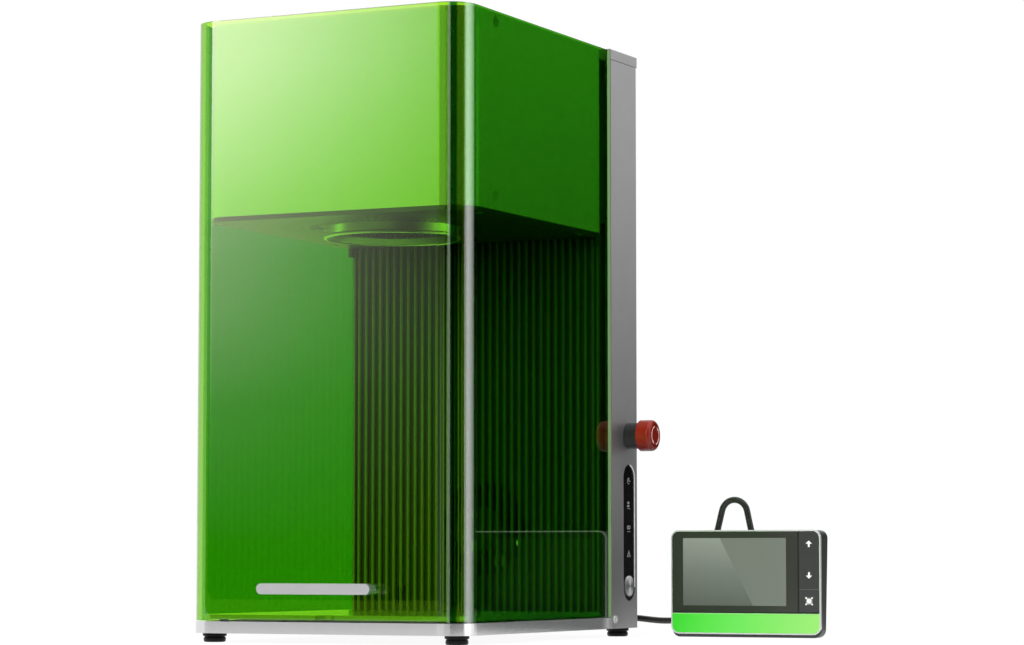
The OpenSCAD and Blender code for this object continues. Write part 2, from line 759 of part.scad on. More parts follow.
module cord_gland() color(black) placed() {
    rod_y(gland_r, panel_y0 - 4, column_y1 + 1, gland_x, gland_z);
    translate([gland_x, column_y1, gland_z]) rotate([-90, 0, 0]) {
        cylinder(r = 7, h = 4);
        translate([0, 0, 4]) cylinder(r1 = 5.6, r2 = cord_d / 2 + 0.9, h = gland_l - 4);
    }
}

// ---------- side controls ----------

module status_strip() color(black) placed() difference() {
    union() {
        side_stadium(strip_w - 2 * snug, strip_l - 2 * snug, inner_x - 1, half_w - 0.4);
        side_stadium(strip_w + 6, strip_l + 6, inner_x - 3, inner_x - snug);
    }
    rod_x(power_d / 2 + run_gap, inner_x - 2, half_w + 1, strip_y, power_z);
}

module power_button() color(silver) placed() {
    rod_x(power_d / 2, inner_x - 0.4, half_w + 0.5, strip_y, power_z);
    rod_x(power_d / 2 - 0.6, half_w + 0.5, half_w + 0.9, strip_y, power_z);
}

module estop_collar() color(black) placed() difference() {
    union() {
        rod_x(collar_d / 2, collar_x, collar_x + collar_l, estop_y, estop_z);
        rod_x(thread_r, half_w - 34, collar_x + 1, estop_y, estop_z);
        rod_x(thread_r + 4, inner_x - 6, inner_x - snug, estop_y, estop_z);
        block(half_w - 42, half_w - 30, estop_y - 12, estop_y + 12, estop_z - 9, estop_z + 9);
    }
    rod_x(stem_r + slack, half_w - 24, collar_x + collar_l + 1, estop_y, estop_z);
}

module estop_stem() color(dark) placed() {
    rod_x(stem_r, half_w - 18, button_x0 + button_skirt - run_gap, estop_y, estop_z);
    rod_x(tip_r, button_x0, button_x0 + button_l - button_crown - run_gap, estop_y, estop_z);
}

module estop_button() color(red) placed() {
    r = collar_d / 2 + button_rim;
    round_r = 4;
    translate([button_x0, estop_y, estop_z]) rotate([0, 90, 0]) rotate_extrude() difference() {
        union() {
            square([r, button_l - round_r]);
            square([r - round_r, button_l]);
            translate([r - round_r, button_l - round_r]) circle(r = round_r);
        }
        translate([-1, -1]) square([collar_d / 2 + 0.6 + 1, button_skirt + 1]);
        translate([-1, 0]) square([tip_r + slack + 1, button_l - button_crown]);
        translate([-r, -r]) square([r, 3 * r]);
        translate([r - 4.6, button_l - 0.5]) square([1, 1]);
    }
}

// ---------- cover ----------

module cover() color(acrylic) placed() difference() {
    translate([0, 0, cover_z0]) linear_extrude(cover_top - cover_z0) difference() {
        footprint(cover_out, cover_y0, channel_y0, cover_r);
        footprint(cover_in, cover_y0 + cover_t, channel_y0 + 1, cover_r - cover_t);
    }
    for (s = [-1, 1]) rod_y(2.2, cover_y0 - 1, cover_y0 + cover_t + 1, s * post_x, handle_z);
}

module cover_channels() color(silver) placed() both_sides()
    translate([0, 0, cover_z0]) linear_extrude(cover_top - cover_z0) difference() {
        translate([cover_in, channel_y0]) square([cover_t, channel_d]);
        translate([tongue_x - tongue_w / 2 - run_gap, channel_y0 + web_d])
            square([tongue_w + 2 * run_gap, channel_d - web_d - lip_d]);
        translate([tongue_x - stem_w / 2 - run_gap, channel_y0 + web_d])
            square([stem_w + 2 * run_gap, channel_d]);
    }

post_x = handle_l / 2 - 5.5;

module handle_bar() color(silver) placed() {
    y1 = cover_y0 - handle_gap;
    upright(-handle_l / 2, handle_l / 2, handle_z - handle_h / 2, handle_z + handle_h / 2,
        handle_h / 2 - 0.01, y1 - handle_t, y1);
}

module handle_posts() color(silver) placed() for (s = [-1, 1])
    difference() {
        rod_y(post_d / 2, cover_y0 - handle_gap, cover_y0, s * post_x, handle_z);
        rod_y(1.6, cover_y0 - 6, cover_y0 + 1, s * post_x, handle_z);
    }

module handle_screws() color(steel) placed() for (s = [-1, 1]) {
    rod_y(1.5, cover_y0 - 5, cover_y0 + cover_t, s * post_x, handle_z);
    rod_y(4, cover_y0 + cover_t, cover_y0 + cover_t + 1.6, s * post_x, handle_z);
}

// ---------- laser head ----------

module head_casing() color(silver) placed() difference() {
    translate([0, 0, head_z0]) linear_extrude(head_h) footprint(head_half, head_y0, head_y1, head_r);
    translate([0, 0, head_z0 - 1]) linear_extrude(head_h - head_t + 1)
        footprint(head_half - head_t, head_y0 + head_t, head_y1 - head_t, head_r - head_t);
    both_sides() for (z = [head_z0 + 12, head_top - 7])
        rod_x(1.6, head_half - head_t - 1, head_half + 1, head_y0 + 52, z);
}

module head_screw_places() {
    for (x = [-1, 1] * (head_half - 5), y = [head_y0 + 33, head_y1 - 33]) translate([x, y, 0]) children();
}

module head_plate() color(dark) placed() difference() {
    inset = 0.5;
    translate([0, 0, head_base]) linear_extrude(head_plate_t)
        footprint(head_half - inset, head_y0 + inset, head_y1 - inset, head_r - inset);
    rod_z(plate_hole_r, head_base - 1, head_z0 + 1, 0, lens_y);
    head_screw_places() rod_z(1.6, head_base - 1, head_z0 + 1, 0, 0);
    rod_z(camera_r + snug, head_base - 1, head_z0 + 1, camera_x, camera_y);
}

camera_r = 5;
camera_from_lens = ring_d / 2 + 3.6;
camera_x = -camera_from_lens * cos(19);
camera_y = lens_y - camera_from_lens * sin(19);

module lens_ring() color(silver) placed() translate([0, lens_y, 0]) {
    r = ring_d / 2;
    mouth = plate_hole_r - 2;
    translate([0, 0, ring_z0]) rotate_extrude($fn = 128) polygon([
        [r - 1.6, 0], [r, 0.4], [r, 1.6], [r - 1.4, 3], [r - 1.8, ring_h], [mouth + 2, ring_h],
        [mouth, ring_h - 0.6], [mouth, ring_h - 4.8], [r - 3, 0.8], [r - 2.2, 0]
    ]);
    translate([0, 0, ring_z0 + ring_h - 4.4]) for (k = [0:fin_count - 1]) rotate(k * 360 / fin_count)
        translate([barrel_r + run_gap, -0.6, 0]) cube([mouth + 1 - barrel_r - run_gap, 1.2, 7.4]);
}

module lens_barrel() color(black) placed() translate([0, lens_y, 0]) difference() {
    union() {
        translate([0, 0, head_base - 2]) cylinder(r = barrel_r, h = 20);
        translate([0, 0, head_z0 + snug]) cylinder(r = plate_hole_r + 4, h = 2.5);
    }
    translate([0, 0, head_base - 3]) cylinder(r = lens_d / 2 - 1, h = 22);
    translate([0, 0, head_base - 3]) cylinder(r = lens_d / 2 + snug, h = 11);
}

module scan_lens() color([0.3, 0.25, 0.5, 0.6]) placed() {
    r = lens_d / 2;
    bulge = 3;
    ball_r = (r * r + bulge * bulge) / (2 * bulge);
    translate([0, lens_y, head_base]) intersection() {
        translate([0, 0, -bulge]) cylinder(r = r, h = 8 + bulge - snug);
        translate([0, 0, ball_r - bulge]) sphere(r = ball_r, $fn = 96);
    }
}

block_z0 = head_base + 18.1;
block_z1 = block_z0 + 61;
mirror_z = block_z0 + 31;
beam_y = lens_y + 30;

module scan_block() color(steel) placed() difference() {
    block(-34, 34, lens_y - 32, lens_y + 52, block_z0, block_z1);
    block(-20, 20, lens_y - 20, lens_y + 42, block_z0 + 8, block_z1 - 10);
    rod_z(20, block_z0 - 1, block_z0 + 9, 0, lens_y);
    rod_x(5, -35, -19, beam_y, mirror_z);
    rod_x(10.3, 19, 35, lens_y, mirror_z);
    rod_z(10.3, block_z1 - 11, block_z1 + 1, 0, beam_y);
}

module scan_motors() color(black) placed() {
    difference() {
        rod_x(10.2, 20.5, 64, lens_y, mirror_z);
        rod_x(1.55, 20, 30, lens_y, mirror_z);
    }
    difference() {
        rod_z(10.2, block_z1 - 9.5, block_z1 + 34, 0, beam_y);
        rod_z(1.55, block_z1 - 10, block_z1, 0, beam_y);
    }
}

module scan_mirror_y() color([0.8, 0.8, 0.85]) placed() translate([0, lens_y, mirror_z]) {
    translate([11, 0, 0]) rotate([0, 90, 0]) cylinder(r = 1.5, h = 18);
    rotate([45, 0, 0]) translate([-11, -7, -0.8]) cube([23, 14, 1.6]);
}

module scan_mirror_x() color([0.8, 0.8, 0.85]) placed() translate([0, beam_y, mirror_z]) {
    translate([0, 0, 9]) cylinder(r = 1.5, h = block_z1 - mirror_z - 9 - 2);
    rotate([0, 0, 45]) translate([-6, -0.8, -10]) cube([12, 1.6, 20]);
}

module laser_source() color(silver) placed() {
    x0 = -head_half + head_t + 4;
    x1 = camera_x - camera_r - 3;
    y0 = head_y0 + 40;
    y1 = head_y1 - 20;
    z0 = head_z0 + snug;
    z1 = z0 + 120;
    wall = 4;
    difference() {
        union() {
            block(x0, x1, y0, y1, z0, z1);
            for (k = [0:4]) block(x0 + 4 + k * 9, x0 + 7 + k * 9, y0 + 4, y1 - 4, z1, z1 + 22);
            rod_x(6, x1, -34, beam_y, mirror_z);
        }
        block(x0 + wall, x1 - wall, y0 + wall, y1 - wall, z0 + wall, z1 - wall);
        rod_x(3, x1 - wall - 1, -33, beam_y, mirror_z);
        rod_y(5, y1 - wall - 1, y1 + 1, (x0 + x1) / 2, z0 + 24);
    }
}

module head_arms() color(black) placed() both_sides() {
    block(arm_in, arm_out, arm_y0, arm_y1, head_z0, arm_z1);
    block(arm_out - arm_foot_w, arm_out, arm_y0, arm_y1, arm_z0, head_z0 + 1);
    block(web_in, arm_out, arm_y0, carriage_y1, web_z0, web_z1);
}

module focus_carriage() color(steel) placed() difference() {
    union() {
        block(-web_in, web_in, carriage_y0, carriage_y1, web_z0, web_z1);
        block(-14, 14, carriage_y1, screw_y + 11, nut_z, nut_z + nut_block_h);
    }
    rod_z(nut_r + slack, nut_z - 1, nut_z + nut_block_h + 1, 0, screw_y);
    for (s = [-1, 1]) upright(s * 52 - 12, s * 52 + 12, web_z0 + 25, web_z1 - 25, 8,
        carriage_y0 - 1, carriage_y1 + 1);
}

module rail_blocks() color(silver) placed() both_sides() for (z = [web_z0 + 8, web_z1 - 8 - block_h])
    difference() {
        block(rail_x - lin_w / 2 - 7.5, rail_x + lin_w / 2 + 7.5, inner_y0 + 3, carriage_y0, z, z + block_h);
        block(rail_x - lin_w / 2 - run_gap, rail_x + lin_w / 2 + run_gap, inner_y0, inner_y0 + lin_h + run_gap,
            z - 1, z + block_h + 1);
    }

module lead_nut() color(brass) placed() difference() {
    union() {
        rod_z(nut_r, nut_z - 4, nut_z + nut_block_h, 0, screw_y);
        rod_z(11, nut_z + nut_block_h, nut_z + nut_block_h + 3.5, 0, screw_y);
    }
    rod_z(screw_r + slack, nut_z - 5, nut_z + nut_block_h + 5, 0, screw_y);
}

module head_screws() color(silver) placed() {
    head_screw_places() {
        rod_z(1.5, head_base, head_z0 + 2, 0, 0);
        rod_z(2.6, head_base - 0.8, head_base, 0, 0);
    }
    both_sides() for (z = [head_z0 + 12, head_top - 7]) {
        rod_x(1.5, head_half - head_t - 2, head_half, head_y0 + 52, z);
        difference() {
            rod_x(5.5, head_half, head_half + 0.4, head_y0 + 52, z);
            block(head_half + 0.1, head_half + 1, head_y0 + 46, head_y0 + 58, z - 0.6, z + 0.6);
        }
    }
}

module head_camera() color(black) placed() difference() {
    rod_z(camera_r, head_base - 0.6, head_z0 + 14, camera_x, camera_y);
    rod_z(camera_r - 2, head_base - 1, head_base + 1.4, camera_x, camera_y);
}

// ---------- controller ----------

// The controller's side view, thicker at the top, drawn in by the wall where asked
module wedge(y_front, wall) {
    translate([pad_x0 - 1, 0, 0]) rotate([90, 0, 90]) linear_extrude(pad_w + 2) polygon([
        [y_front, -1], [pad_y0 + pad_foot_d - wall, -1], [pad_y0 + pad_foot_d - wall, wall],
        [pad_y0 + pad_top_d - wall, pad_h - wall], [pad_y0 + pad_top_d - wall, pad_h + 1],
        [y_front, pad_h + 1]
    ]);
}

module pad_shell() color(dark) placed() {
    y0 = pad_y0 + bezel_d;
    difference() {
        intersection() {
            upright(pad_x0 + 0.2, pad_x1 - 0.2, 0, pad_h - 0.2, pad_r, y0, pad_y0 + pad_top_d + 1);
            wedge(y0, 0);
        }
        intersection() {
            upright(pad_x0 + pad_wall, pad_x1 - pad_wall, pad_wall, pad_h - pad_wall, pad_r - 1.5,
                ledge_y + ledge_t, pad_y0 + pad_top_d + 1);
            wedge(y0, pad_wall);
        }
        upright(pad_x0 + 6, pad_x1 - 6, strip_z0 + 4, pad_h - 6, 3, y0 - 1, ledge_y + ledge_t + 1);
        upright(pad_x0 + lip_t, pad_x1 - lip_t, strip_z0, pad_h - lip_t, pad_r - lip_t, y0 - 1, ledge_y);
    }
}

module pad_bezel() color(silver) placed() difference() {
    upright(pad_x0, pad_x1, pad_foot, pad_h, pad_r, pad_y0, pad_y0 + bezel_d);
    upright(pad_x0 + lip_t, pad_x1 - lip_t, strip_z0, pad_h - lip_t, pad_r - lip_t,
        pad_y0 - 1, pad_y0 + bezel_d + 1);
}

// Face pieces share the bezel's inner outline and are cut to their own field
module face_piece(x0, x1, z0, z1, y0, y1) {
    intersection() {
        upright(pad_x0 + lip_t + snug, pad_x1 - lip_t - snug, strip_z0 + snug, pad_h - lip_t - snug,
            pad_r - lip_t - snug, y0, y1);
        block(x0, x1, y0, y1, z0, z1);
    }
}

module pad_glass() color([0.1, 0.11, 0.1]) placed() difference() {
    y0 = pad_y0 + 0.2;
    face_piece(pad_x0, key_x0 - run_gap, strip_z1 + snug, pad_h, y0, y0 + glass_t);
    block(screen_x0, screen_x1, y0 + 1.2, y0 + glass_t + 1, screen_z0, screen_z1);
}

screen_x0 = pad_x0 + 12.1;
screen_x1 = screen_x0 + 101.5;
screen_z0 = strip_z1 + 5.7;
screen_z1 = screen_z0 + 61.8;

module pad_strip() color(lime) placed() {
    y0 = pad_y0 + 0.2;
    face_piece(pad_x0, pad_x1, 0, strip_z1, y0, y0 + glass_t);
}

module pad_board() color([0.1, 0.35, 0.2]) placed() {
    y0 = ledge_y + ledge_t + 1.5;
    block(pad_x0 + 8, pad_x1 - 8, y0, y0 + 1.6, 10, pad_h - 8);
    block(screen_x0 + 0.3, screen_x1 - 0.3, pad_y0 + 1.7, y0, screen_z0 + 0.3, screen_z1 - 0.3);
    for (x = [pad_x0 + 12, pad_x1 - 12]) rod_y(2.5, y0 + 1.6, pad_y0 + pad_foot_d - pad_wall, x, 14);
}

module jog_rocker() color(dark) placed() {
    y0 = pad_y0 + 0.2;
    face_piece(key_x0, key_x1, strip_z1 + frame_key_h + run_gap, pad_h - lip_t - run_gap, y0, y0 + key_t);
}

module frame_key() color(dark) placed() {
    y0 = pad_y0 + 0.2;
    face_piece(key_x0, key_x1, strip_z1 + run_gap, strip_z1 + frame_key_h, y0, y0 + key_t);
}

module pad_gland() color(black) placed() {
    neck_y = pad_y0 + pad_foot_d + (pad_top_d - pad_foot_d) * pad_gland_z / pad_h;
    difference() {
        block(pad_gland_x - 7, pad_gland_x + 7, neck_y - 2, pad_gland_y + 5, pad_gland_z - 34, pad_gland_z - 16);
        wedge(pad_y0, 0);
    }
    translate([pad_gland_x, pad_gland_y, pad_gland_z - 16])
        cylinder(r1 = 4.8, r2 = cord_d / 2 + 0.7, h = 16);
}

// ---------- cord ----------

function unit(v) = v / norm(v);
function tangent(p, i) = unit(p[min(i + 1, len(p) - 1)] - p[max(i - 1, 0)]);

function ring_points(p, i) =
    let (t = tangent(p, i), up = [0, 1, 0.35], u = unit(cross(t, up)), v = cross(t, u))
    [for (k = [0:cord_sides - 1]) let (a = k * 360 / cord_sides)
        p[i] + cord_d / 2 * (cos(a) * u + sin(a) * v)];

module pad_cord() color(black) placed() {
    n = len(cord_route);
    s = cord_sides;
    points = [for (i = [0:n - 1]) each ring_points(cord_route, i)];
    sides = [for (i = [0:n - 2], k = [0:s - 1])
        [i * s + k, i * s + (k + 1) % s, (i + 1) * s + (k + 1) % s, (i + 1) * s + k]];
    near = [[for (k = [s - 1:-1:0]) k]];
    far = [[for (k = [0:s - 1]) (n - 1) * s + k]];
    polyhedron(points, concat(near, sides, far));
}

base_frame();
bottom_plate();
work_bed();
feet();
column_shell();
column_cap();
rear_panel();
column_screws();
rear_screws();
back_wall();
cover_rails();
linear_rails();
screw_brackets();
focus_motor();
fan_frame();
exhaust_spigot();
power_inlet();
cord_gland();
power_supply();
main_board();
status_strip();
estop_collar();
lead_screw();
screw_coupling();
fan_rotor();
estop_stem();
estop_button();
power_button();
mains_switch();
cover();
cover_channels();
handle_bar();
handle_posts();
handle_screws();
head_casing();
head_plate();
lens_ring();
lens_barrel();
scan_lens();
scan_block();
scan_motors();
laser_source();
head_arms();
focus_carriage();
rail_blocks();
lead_nut();
head_screws();
head_camera();
scan_mirror_x();
scan_mirror_y();
pad_shell();
pad_bezel();
pad_glass();
pad_strip();
pad_board();
jog_rocker();
frame_key();
pad_gland();
pad_cord();
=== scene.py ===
import math

import bmesh
import bpy
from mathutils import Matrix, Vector


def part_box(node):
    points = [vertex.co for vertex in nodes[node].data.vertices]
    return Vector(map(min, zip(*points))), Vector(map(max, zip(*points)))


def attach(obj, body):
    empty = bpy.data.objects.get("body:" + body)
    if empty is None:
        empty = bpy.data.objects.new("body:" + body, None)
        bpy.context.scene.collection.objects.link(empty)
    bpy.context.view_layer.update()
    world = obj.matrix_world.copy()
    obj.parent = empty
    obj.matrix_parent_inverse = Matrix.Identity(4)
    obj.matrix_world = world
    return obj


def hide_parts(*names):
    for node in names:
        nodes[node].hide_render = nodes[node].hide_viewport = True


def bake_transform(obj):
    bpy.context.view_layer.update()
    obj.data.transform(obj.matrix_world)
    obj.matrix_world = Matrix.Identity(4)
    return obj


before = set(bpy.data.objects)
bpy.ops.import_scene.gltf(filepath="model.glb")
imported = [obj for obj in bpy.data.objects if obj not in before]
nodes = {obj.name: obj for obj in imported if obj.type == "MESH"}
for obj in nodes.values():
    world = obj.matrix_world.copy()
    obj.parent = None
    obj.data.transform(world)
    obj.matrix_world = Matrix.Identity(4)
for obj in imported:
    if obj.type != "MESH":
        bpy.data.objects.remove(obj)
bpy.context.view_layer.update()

MM = 0.001
scene = bpy.context.scene
scene.view_settings.view_transform = "Standard"

# ---------- places, all from the CAD ----------

base_lo, base_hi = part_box("base_frame")
column_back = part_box("column_shell")[1].y
cover_lo, cover_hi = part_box("cover")
CENTRE_X = (base_lo.x + base_hi.x) / 2
CENTRE_Y = (base_lo.y + column_back) / 2


def at(x, y, z):
    """A point given in millimetres from the machine's centre line, in the row frame."""
    return Vector((CENTRE_X + x * MM, CENTRE_Y + y * MM, z * MM))


# ---------- camera, fitted to the photograph ----------

camera_data = bpy.data.cameras.new("camera")
camera = bpy.data.objects.new("camera", camera_data)
scene.collection.objects.link(camera)
camera.location = at(1317.5, -2505.5, 74.4)
camera.rotation_euler = (math.radians(90 + 4.248), 0, math.radians(26.069))
camera_data.sensor_width = 36
camera_data.lens = 110.45
camera_data.clip_start = 0.05
camera_data.clip_end = 60
scene.camera = camera

# ---------- materials ----------

MATS = {}


class Nodes:
    """A small helper that adds nodes to one material's tree."""

    def __init__(self, tree):
        self.tree = tree

    def add(self, kind, **values):
        n = self.tree.nodes.new(kind)
        for key, value in values.items():
            setattr(n, key, value)
        return n

    def link(self, a, b):
        self.tree.links.new(a, b)

    def feed(self, socket, value):
        """Links another node's output to the socket, or gives the socket a plain value."""
        if isinstance(value, bpy.types.NodeSocket):
            self.link(value, socket)
        else:
            socket.default_value = value

    def coords(self):
        return self.add("ShaderNodeTexCoord").outputs["Object"]

    def axes(self, vector=None):
        """The X, Y and Z of a vector, or of the object's coordinates if none is given."""
        split = self.add("ShaderNodeSeparateXYZ")
        self.link(self.coords() if vector is None else vector, split.inputs["Vector"])
        return split.outputs

    def stretched(self, scale):
        m = self.add("ShaderNodeMapping")
        m.inputs["Scale"].default_value = scale
        self.link(self.coords(), m.inputs["Vector"])
        return m.outputs["Vector"]

    def noise(self, scale, detail=3, vector=None):
        n = self.add("ShaderNodeTexNoise")
        n.inputs["Scale"].default_value = scale
        n.inputs["Detail"].default_value = detail
        self.link(self.coords() if vector is None else vector, n.inputs["Vector"])
        return n.outputs["Fac"]

    def math(self, operation, *values, **options):
        """The result of a math node on sockets or plain numbers."""
        m = self.add("ShaderNodeMath", operation=operation, **options)
        for socket, value in zip(m.inputs, values):
            self.feed(socket, value)
        return m.outputs[0]

    def vector_math(self, operation, *values):
        """The same for vectors."""
        m = self.add("ShaderNodeVectorMath", operation=operation)
        for socket, value in zip(m.inputs, values):
            self.feed(socket, value)
        return m.outputs["Value" if operation == "LENGTH" else "Vector"]

    def ramp(self, value, stops):
        r = self.add("ShaderNodeValToRGB")
        while len(r.color_ramp.elements) < len(stops):
            r.color_ramp.elements.new(0.5)
        for e, (place, colour) in zip(r.color_ramp.elements, stops):
            e.position = place
            e.color = (*colour, 1)
        self.link(value, r.inputs["Fac"])
        return r.outputs["Color"]

    def remap(self, value, low, high, to_low=0.0, to_high=1.0):
        """The value stretched from low..high to to_low..to_high, and held at both ends."""
        m = self.add("ShaderNodeMapRange")
        for key, number in (("From Min", low), ("From Max", high),
                            ("To Min", to_low), ("To Max", to_high)):
            m.inputs[key].default_value = number
        self.link(value, m.inputs["Value"])
        return m.outputs["Result"]

    def spread(self, value, low, high):
        """A value between 0 and 1, stretched to low..high."""
        return self.remap(value, 0, 1, low, high)

    def mix(self, factor, a, b):
        """Colour a where the factor is 0, and colour b where it is 1."""
        m = self.add("ShaderNodeMix", data_type="RGBA")
        for key, value in (("Factor", factor), ("A", a), ("B", b)):
            self.feed(m.inputs[key], value)
        return m.outputs["Result"]

    def bump(self, height, strength):
        b = self.add("ShaderNodeBump")
        b.inputs["Strength"].default_value = strength
        b.inputs["Distance"].default_value = 0.2 * MM
        self.link(height, b.inputs["Height"])
        return b.outputs["Normal"]

    def both(self, a, b):
        """Two shaders added up."""
        total = self.add("ShaderNodeAddShader")
        self.link(a, total.inputs[0])
        self.link(b, total.inputs[1])
        return total.outputs["Shader"]

    def show(self, shader):
        self.link(shader, self.tree.nodes["Material Output"].inputs["Surface"])


def grey(v):
    return (v, v, v)


def scaled(c, k):
    return tuple(min(1.0, x * k) for x in c)


def new_material(name):
    m = bpy.data.materials.new(name)
    m.use_nodes = True
    MATS[name] = m
    return Nodes(m.node_tree), m.node_tree.nodes["Principled BSDF"]


def surface(name, colour, metallic=0.0, rough=0.5, vary=0.06, scale=60, bump=0.0,
            rough_vary=0.06, coat=0.0, ior=1.5, stretch=(1, 1, 1), glow=0.0):
    """A finished surface: colour that varies a little, uneven gloss and a fine texture."""
    n, s = new_material(name)
    v = n.stretched(stretch)
    broad = n.noise(scale, 4, v)
    low, high = scaled(colour, 1 - vary), scaled(colour, 1 + vary)
    n.link(n.ramp(broad, [(0.3, low), (0.7, high)]), s.inputs["Base Color"])
    fine = n.noise(scale * 6, 3, v)
    n.link(n.spread(fine, max(0.02, rough - rough_vary), rough + rough_vary), s.inputs["Roughness"])
    if bump:
        n.link(n.bump(n.noise(900, 2, v), bump), s.inputs["Normal"])
    s.inputs["Metallic"].default_value = metallic
    s.inputs["IOR"].default_value = ior
    # glow paints light into the colour: the surface glows though it is no lamp.
    if glow:
        s.inputs["Emission Color"].default_value = (*colour, 1)
        s.inputs["Emission Strength"].default_value = glow
    if coat:
        s.inputs["Coat Weight"].default_value = coat
        s.inputs["Coat Roughness"].default_value = 0.08


def clear_plastic(name, tint, ior=1.5, lit_tint=None):
    """Clear coloured plastic; light that falls on things behind it passes straight through."""
    n, s = new_material(name)
    s.inputs["Transmission Weight"].default_value = 1
    s.inputs["Roughness"].default_value = 0
    s.inputs["IOR"].default_value = ior
    s.inputs["Base Color"].default_value = (*tint, 1)
    path = n.add("ShaderNodeLightPath").outputs
    rough_glossy = n.math("SUBTRACT", path["Is Glossy Ray"], path["Is Singular Ray"],
                          use_clamp=True)
    lighting = n.math("MAXIMUM", path["Is Shadow Ray"], path["Is Diffuse Ray"])
    clear = n.add("ShaderNodeBsdfTransparent")
    clear.inputs["Color"].default_value = (*(lit_tint or tint), 1)
    mix = n.add("ShaderNodeMixShader")
    n.link(n.math("MAXIMUM", lighting, rough_glossy), mix.inputs["Fac"])
    n.link(s.outputs["BSDF"], mix.inputs[1])
    n.link(clear.outputs["BSDF"], mix.inputs[2])
    n.show(mix.outputs["Shader"])
    return n, s


surface("silver", (0.74, 0.74, 0.75), 0.9, 0.32, 0.02, scale=30, bump=0.05)
surface("base_metal", (0.74, 0.74, 0.75), 0.85, 0.12, 0.01, rough_vary=0.02)
surface("head_metal", (0.84, 0.84, 0.83), 0.85, 0.17, 0.004, rough_vary=0.002)
surface("bed", (0.52, 0.53, 0.52), 0.7, 0.18, 0.02, bump=0.05)
surface("steel", (0.62, 0.63, 0.64), 1.0, 0.25, 0.04, stretch=(1, 1, 12), bump=0.05)
surface("grey_paint", (0.42, 0.42, 0.425), 0.8, 0.33, 0.02, bump=0.06)
surface("dark_paint", (0.05, 0.05, 0.052), 0.0, 0.5, 0.05, bump=0.12)
surface("black_metal", (0.05, 0.05, 0.05), 0.0, 0.42, 0.05, bump=0.08)
surface("bezel_metal", (0.9, 0.9, 0.9), 0.4, 0.3, 0.01)
surface("line_grey", (0.13, 0.135, 0.13), 0.0, 0.4, 0.02)
surface("screw_metal", (0.62, 0.62, 0.61), 0.5, 0.3, 0.02)
surface("plate_metal", (0.055, 0.06, 0.055), 0.0, 0.35, 0.03, rough_vary=0.02)
surface("black_plastic", (0.02, 0.02, 0.02), 0.0, 0.4, 0.1, bump=0.15)
surface("black_gloss", (0.015, 0.015, 0.016), 0.0, 0.12, 0.05, coat=0.5)
surface("key_black", (0.045, 0.047, 0.047), 0.0, 0.2, 0.03, coat=0.3)
surface("red", (0.27, 0.014, 0.004), 0.0, 0.32, 0.05, bump=0.05)
# The white print glows a little: painted light, since print is no lamp.
surface("print_white", (0.9, 0.9, 0.89), 0.0, 0.4, 0.01, glow=0.3)
surface("print_grey", (0.45, 0.45, 0.45), 0.0, 0.4, 0.01)
# The pink print glows a little: painted light, since print is no lamp.
surface("print_pink", (0.88, 0.6, 0.56), 0.0, 0.4, 0.01, glow=0.25)
surface("gap_black", (0.008, 0.008, 0.008), 0.0, 0.6, 0.05)
surface("foot_black", (0.008, 0.008, 0.008), 0.0, 0.25, 0.1, ior=1.25)
# The pale green of the line along the controller strip's top: a painted highlight.
surface("strip_highlight", (0.45, 0.92, 0.35), 0.0, 0.3, 0.01)
# The cover's channels are coloured pale green: painted light, standing in for the light that shines
# out of the acrylic's edges beside them.
surface("channel", (0.33, 0.56, 0.25), 0.0, 0.3, 0.02, coat=0.3)
surface("brass", (0.72, 0.52, 0.22), 1.0, 0.25, 0.05)
surface("board", (0.02, 0.14, 0.05), 0.0, 0.3, 0.2, coat=0.3)
surface("rubber", (0.018, 0.018, 0.018), 0.0, 0.5, 0.15, bump=0.2)
surface("cord", (0.022, 0.024, 0.019), 0.0, 0.26, 0.15, bump=0.1)
surface("pad_grey", (0.06, 0.06, 0.062), 0.1, 0.35, 0.04, bump=0.08)
surface("mirror", (0.85, 0.85, 0.88), 1.0, 0.04, 0.01, rough_vary=0.01)
surface("screen_glass", (0.042, 0.046, 0.036), 0.0, 0.1, 0.02, coat=0.1, rough_vary=0.02)
clear_plastic("lens", (0.75, 0.7, 0.9))

# The cover's tint is painted darker at its sides as shade (the longer path through the plastic gives
# only a little of it), with a painted dark band of shade and a painted pale line of highlight in its
# right bend, and painted paler at its left corner as a highlight. LIT_TINT colours the light that
# falls on the things behind it.
FRONT_TINT, SIDE_SHADE_TINT, CORNER_HIGHLIGHT_TINT = (0.37, 0.8, 0.03), (0.055, 0.34, 0.014), (0.56, 0.78, 0.33)
BEND_SHADE_TINT, RIM_HIGHLIGHT_TINT = (0.02, 0.2, 0.008), (0.3, 0.68, 0.025)
LIT_TINT = (0.74, 0.95, 0.7)
CORNER_R = 24.5
LEFT_CORNER_W = 0.1 * CORNER_R
n, s = clear_plastic("acrylic", FRONT_TINT, 1.49, LIT_TINT)
normal = n.axes(n.add("ShaderNodeTexCoord").outputs["Normal"])
sideways = n.math("ABSOLUTE", normal["X"])
side_shade_tint = n.ramp(sideways, [(0.35, FRONT_TINT), (0.95, SIDE_SHADE_TINT)])
# In the right bend: a dark band of painted shade, then a pale line of painted highlight.
bend_shade_and_highlight = n.ramp(sideways, [(0.32, FRONT_TINT), (0.43, BEND_SHADE_TINT), (0.63, BEND_SHADE_TINT),
                            (0.66, RIM_HIGHLIGHT_TINT), (0.86, RIM_HIGHLIGHT_TINT), (0.92, SIDE_SHADE_TINT)])
place = n.axes()
in_front = n.math("LESS_THAN", place["Y"], cover_lo.y + CORNER_R * MM)
at_right = n.math("GREATER_THAN", place["X"], cover_hi.x - CORNER_R * MM)
at_left = n.math("LESS_THAN", place["X"], cover_lo.x + LEFT_CORNER_W * MM)
tint = n.mix(n.math("MULTIPLY", at_right, in_front), side_shade_tint, bend_shade_and_highlight)
tint = n.mix(n.math("MULTIPLY", at_left, in_front), tint, (*CORNER_HIGHLIGHT_TINT, 1))
n.link(tint, s.inputs["Base Color"])
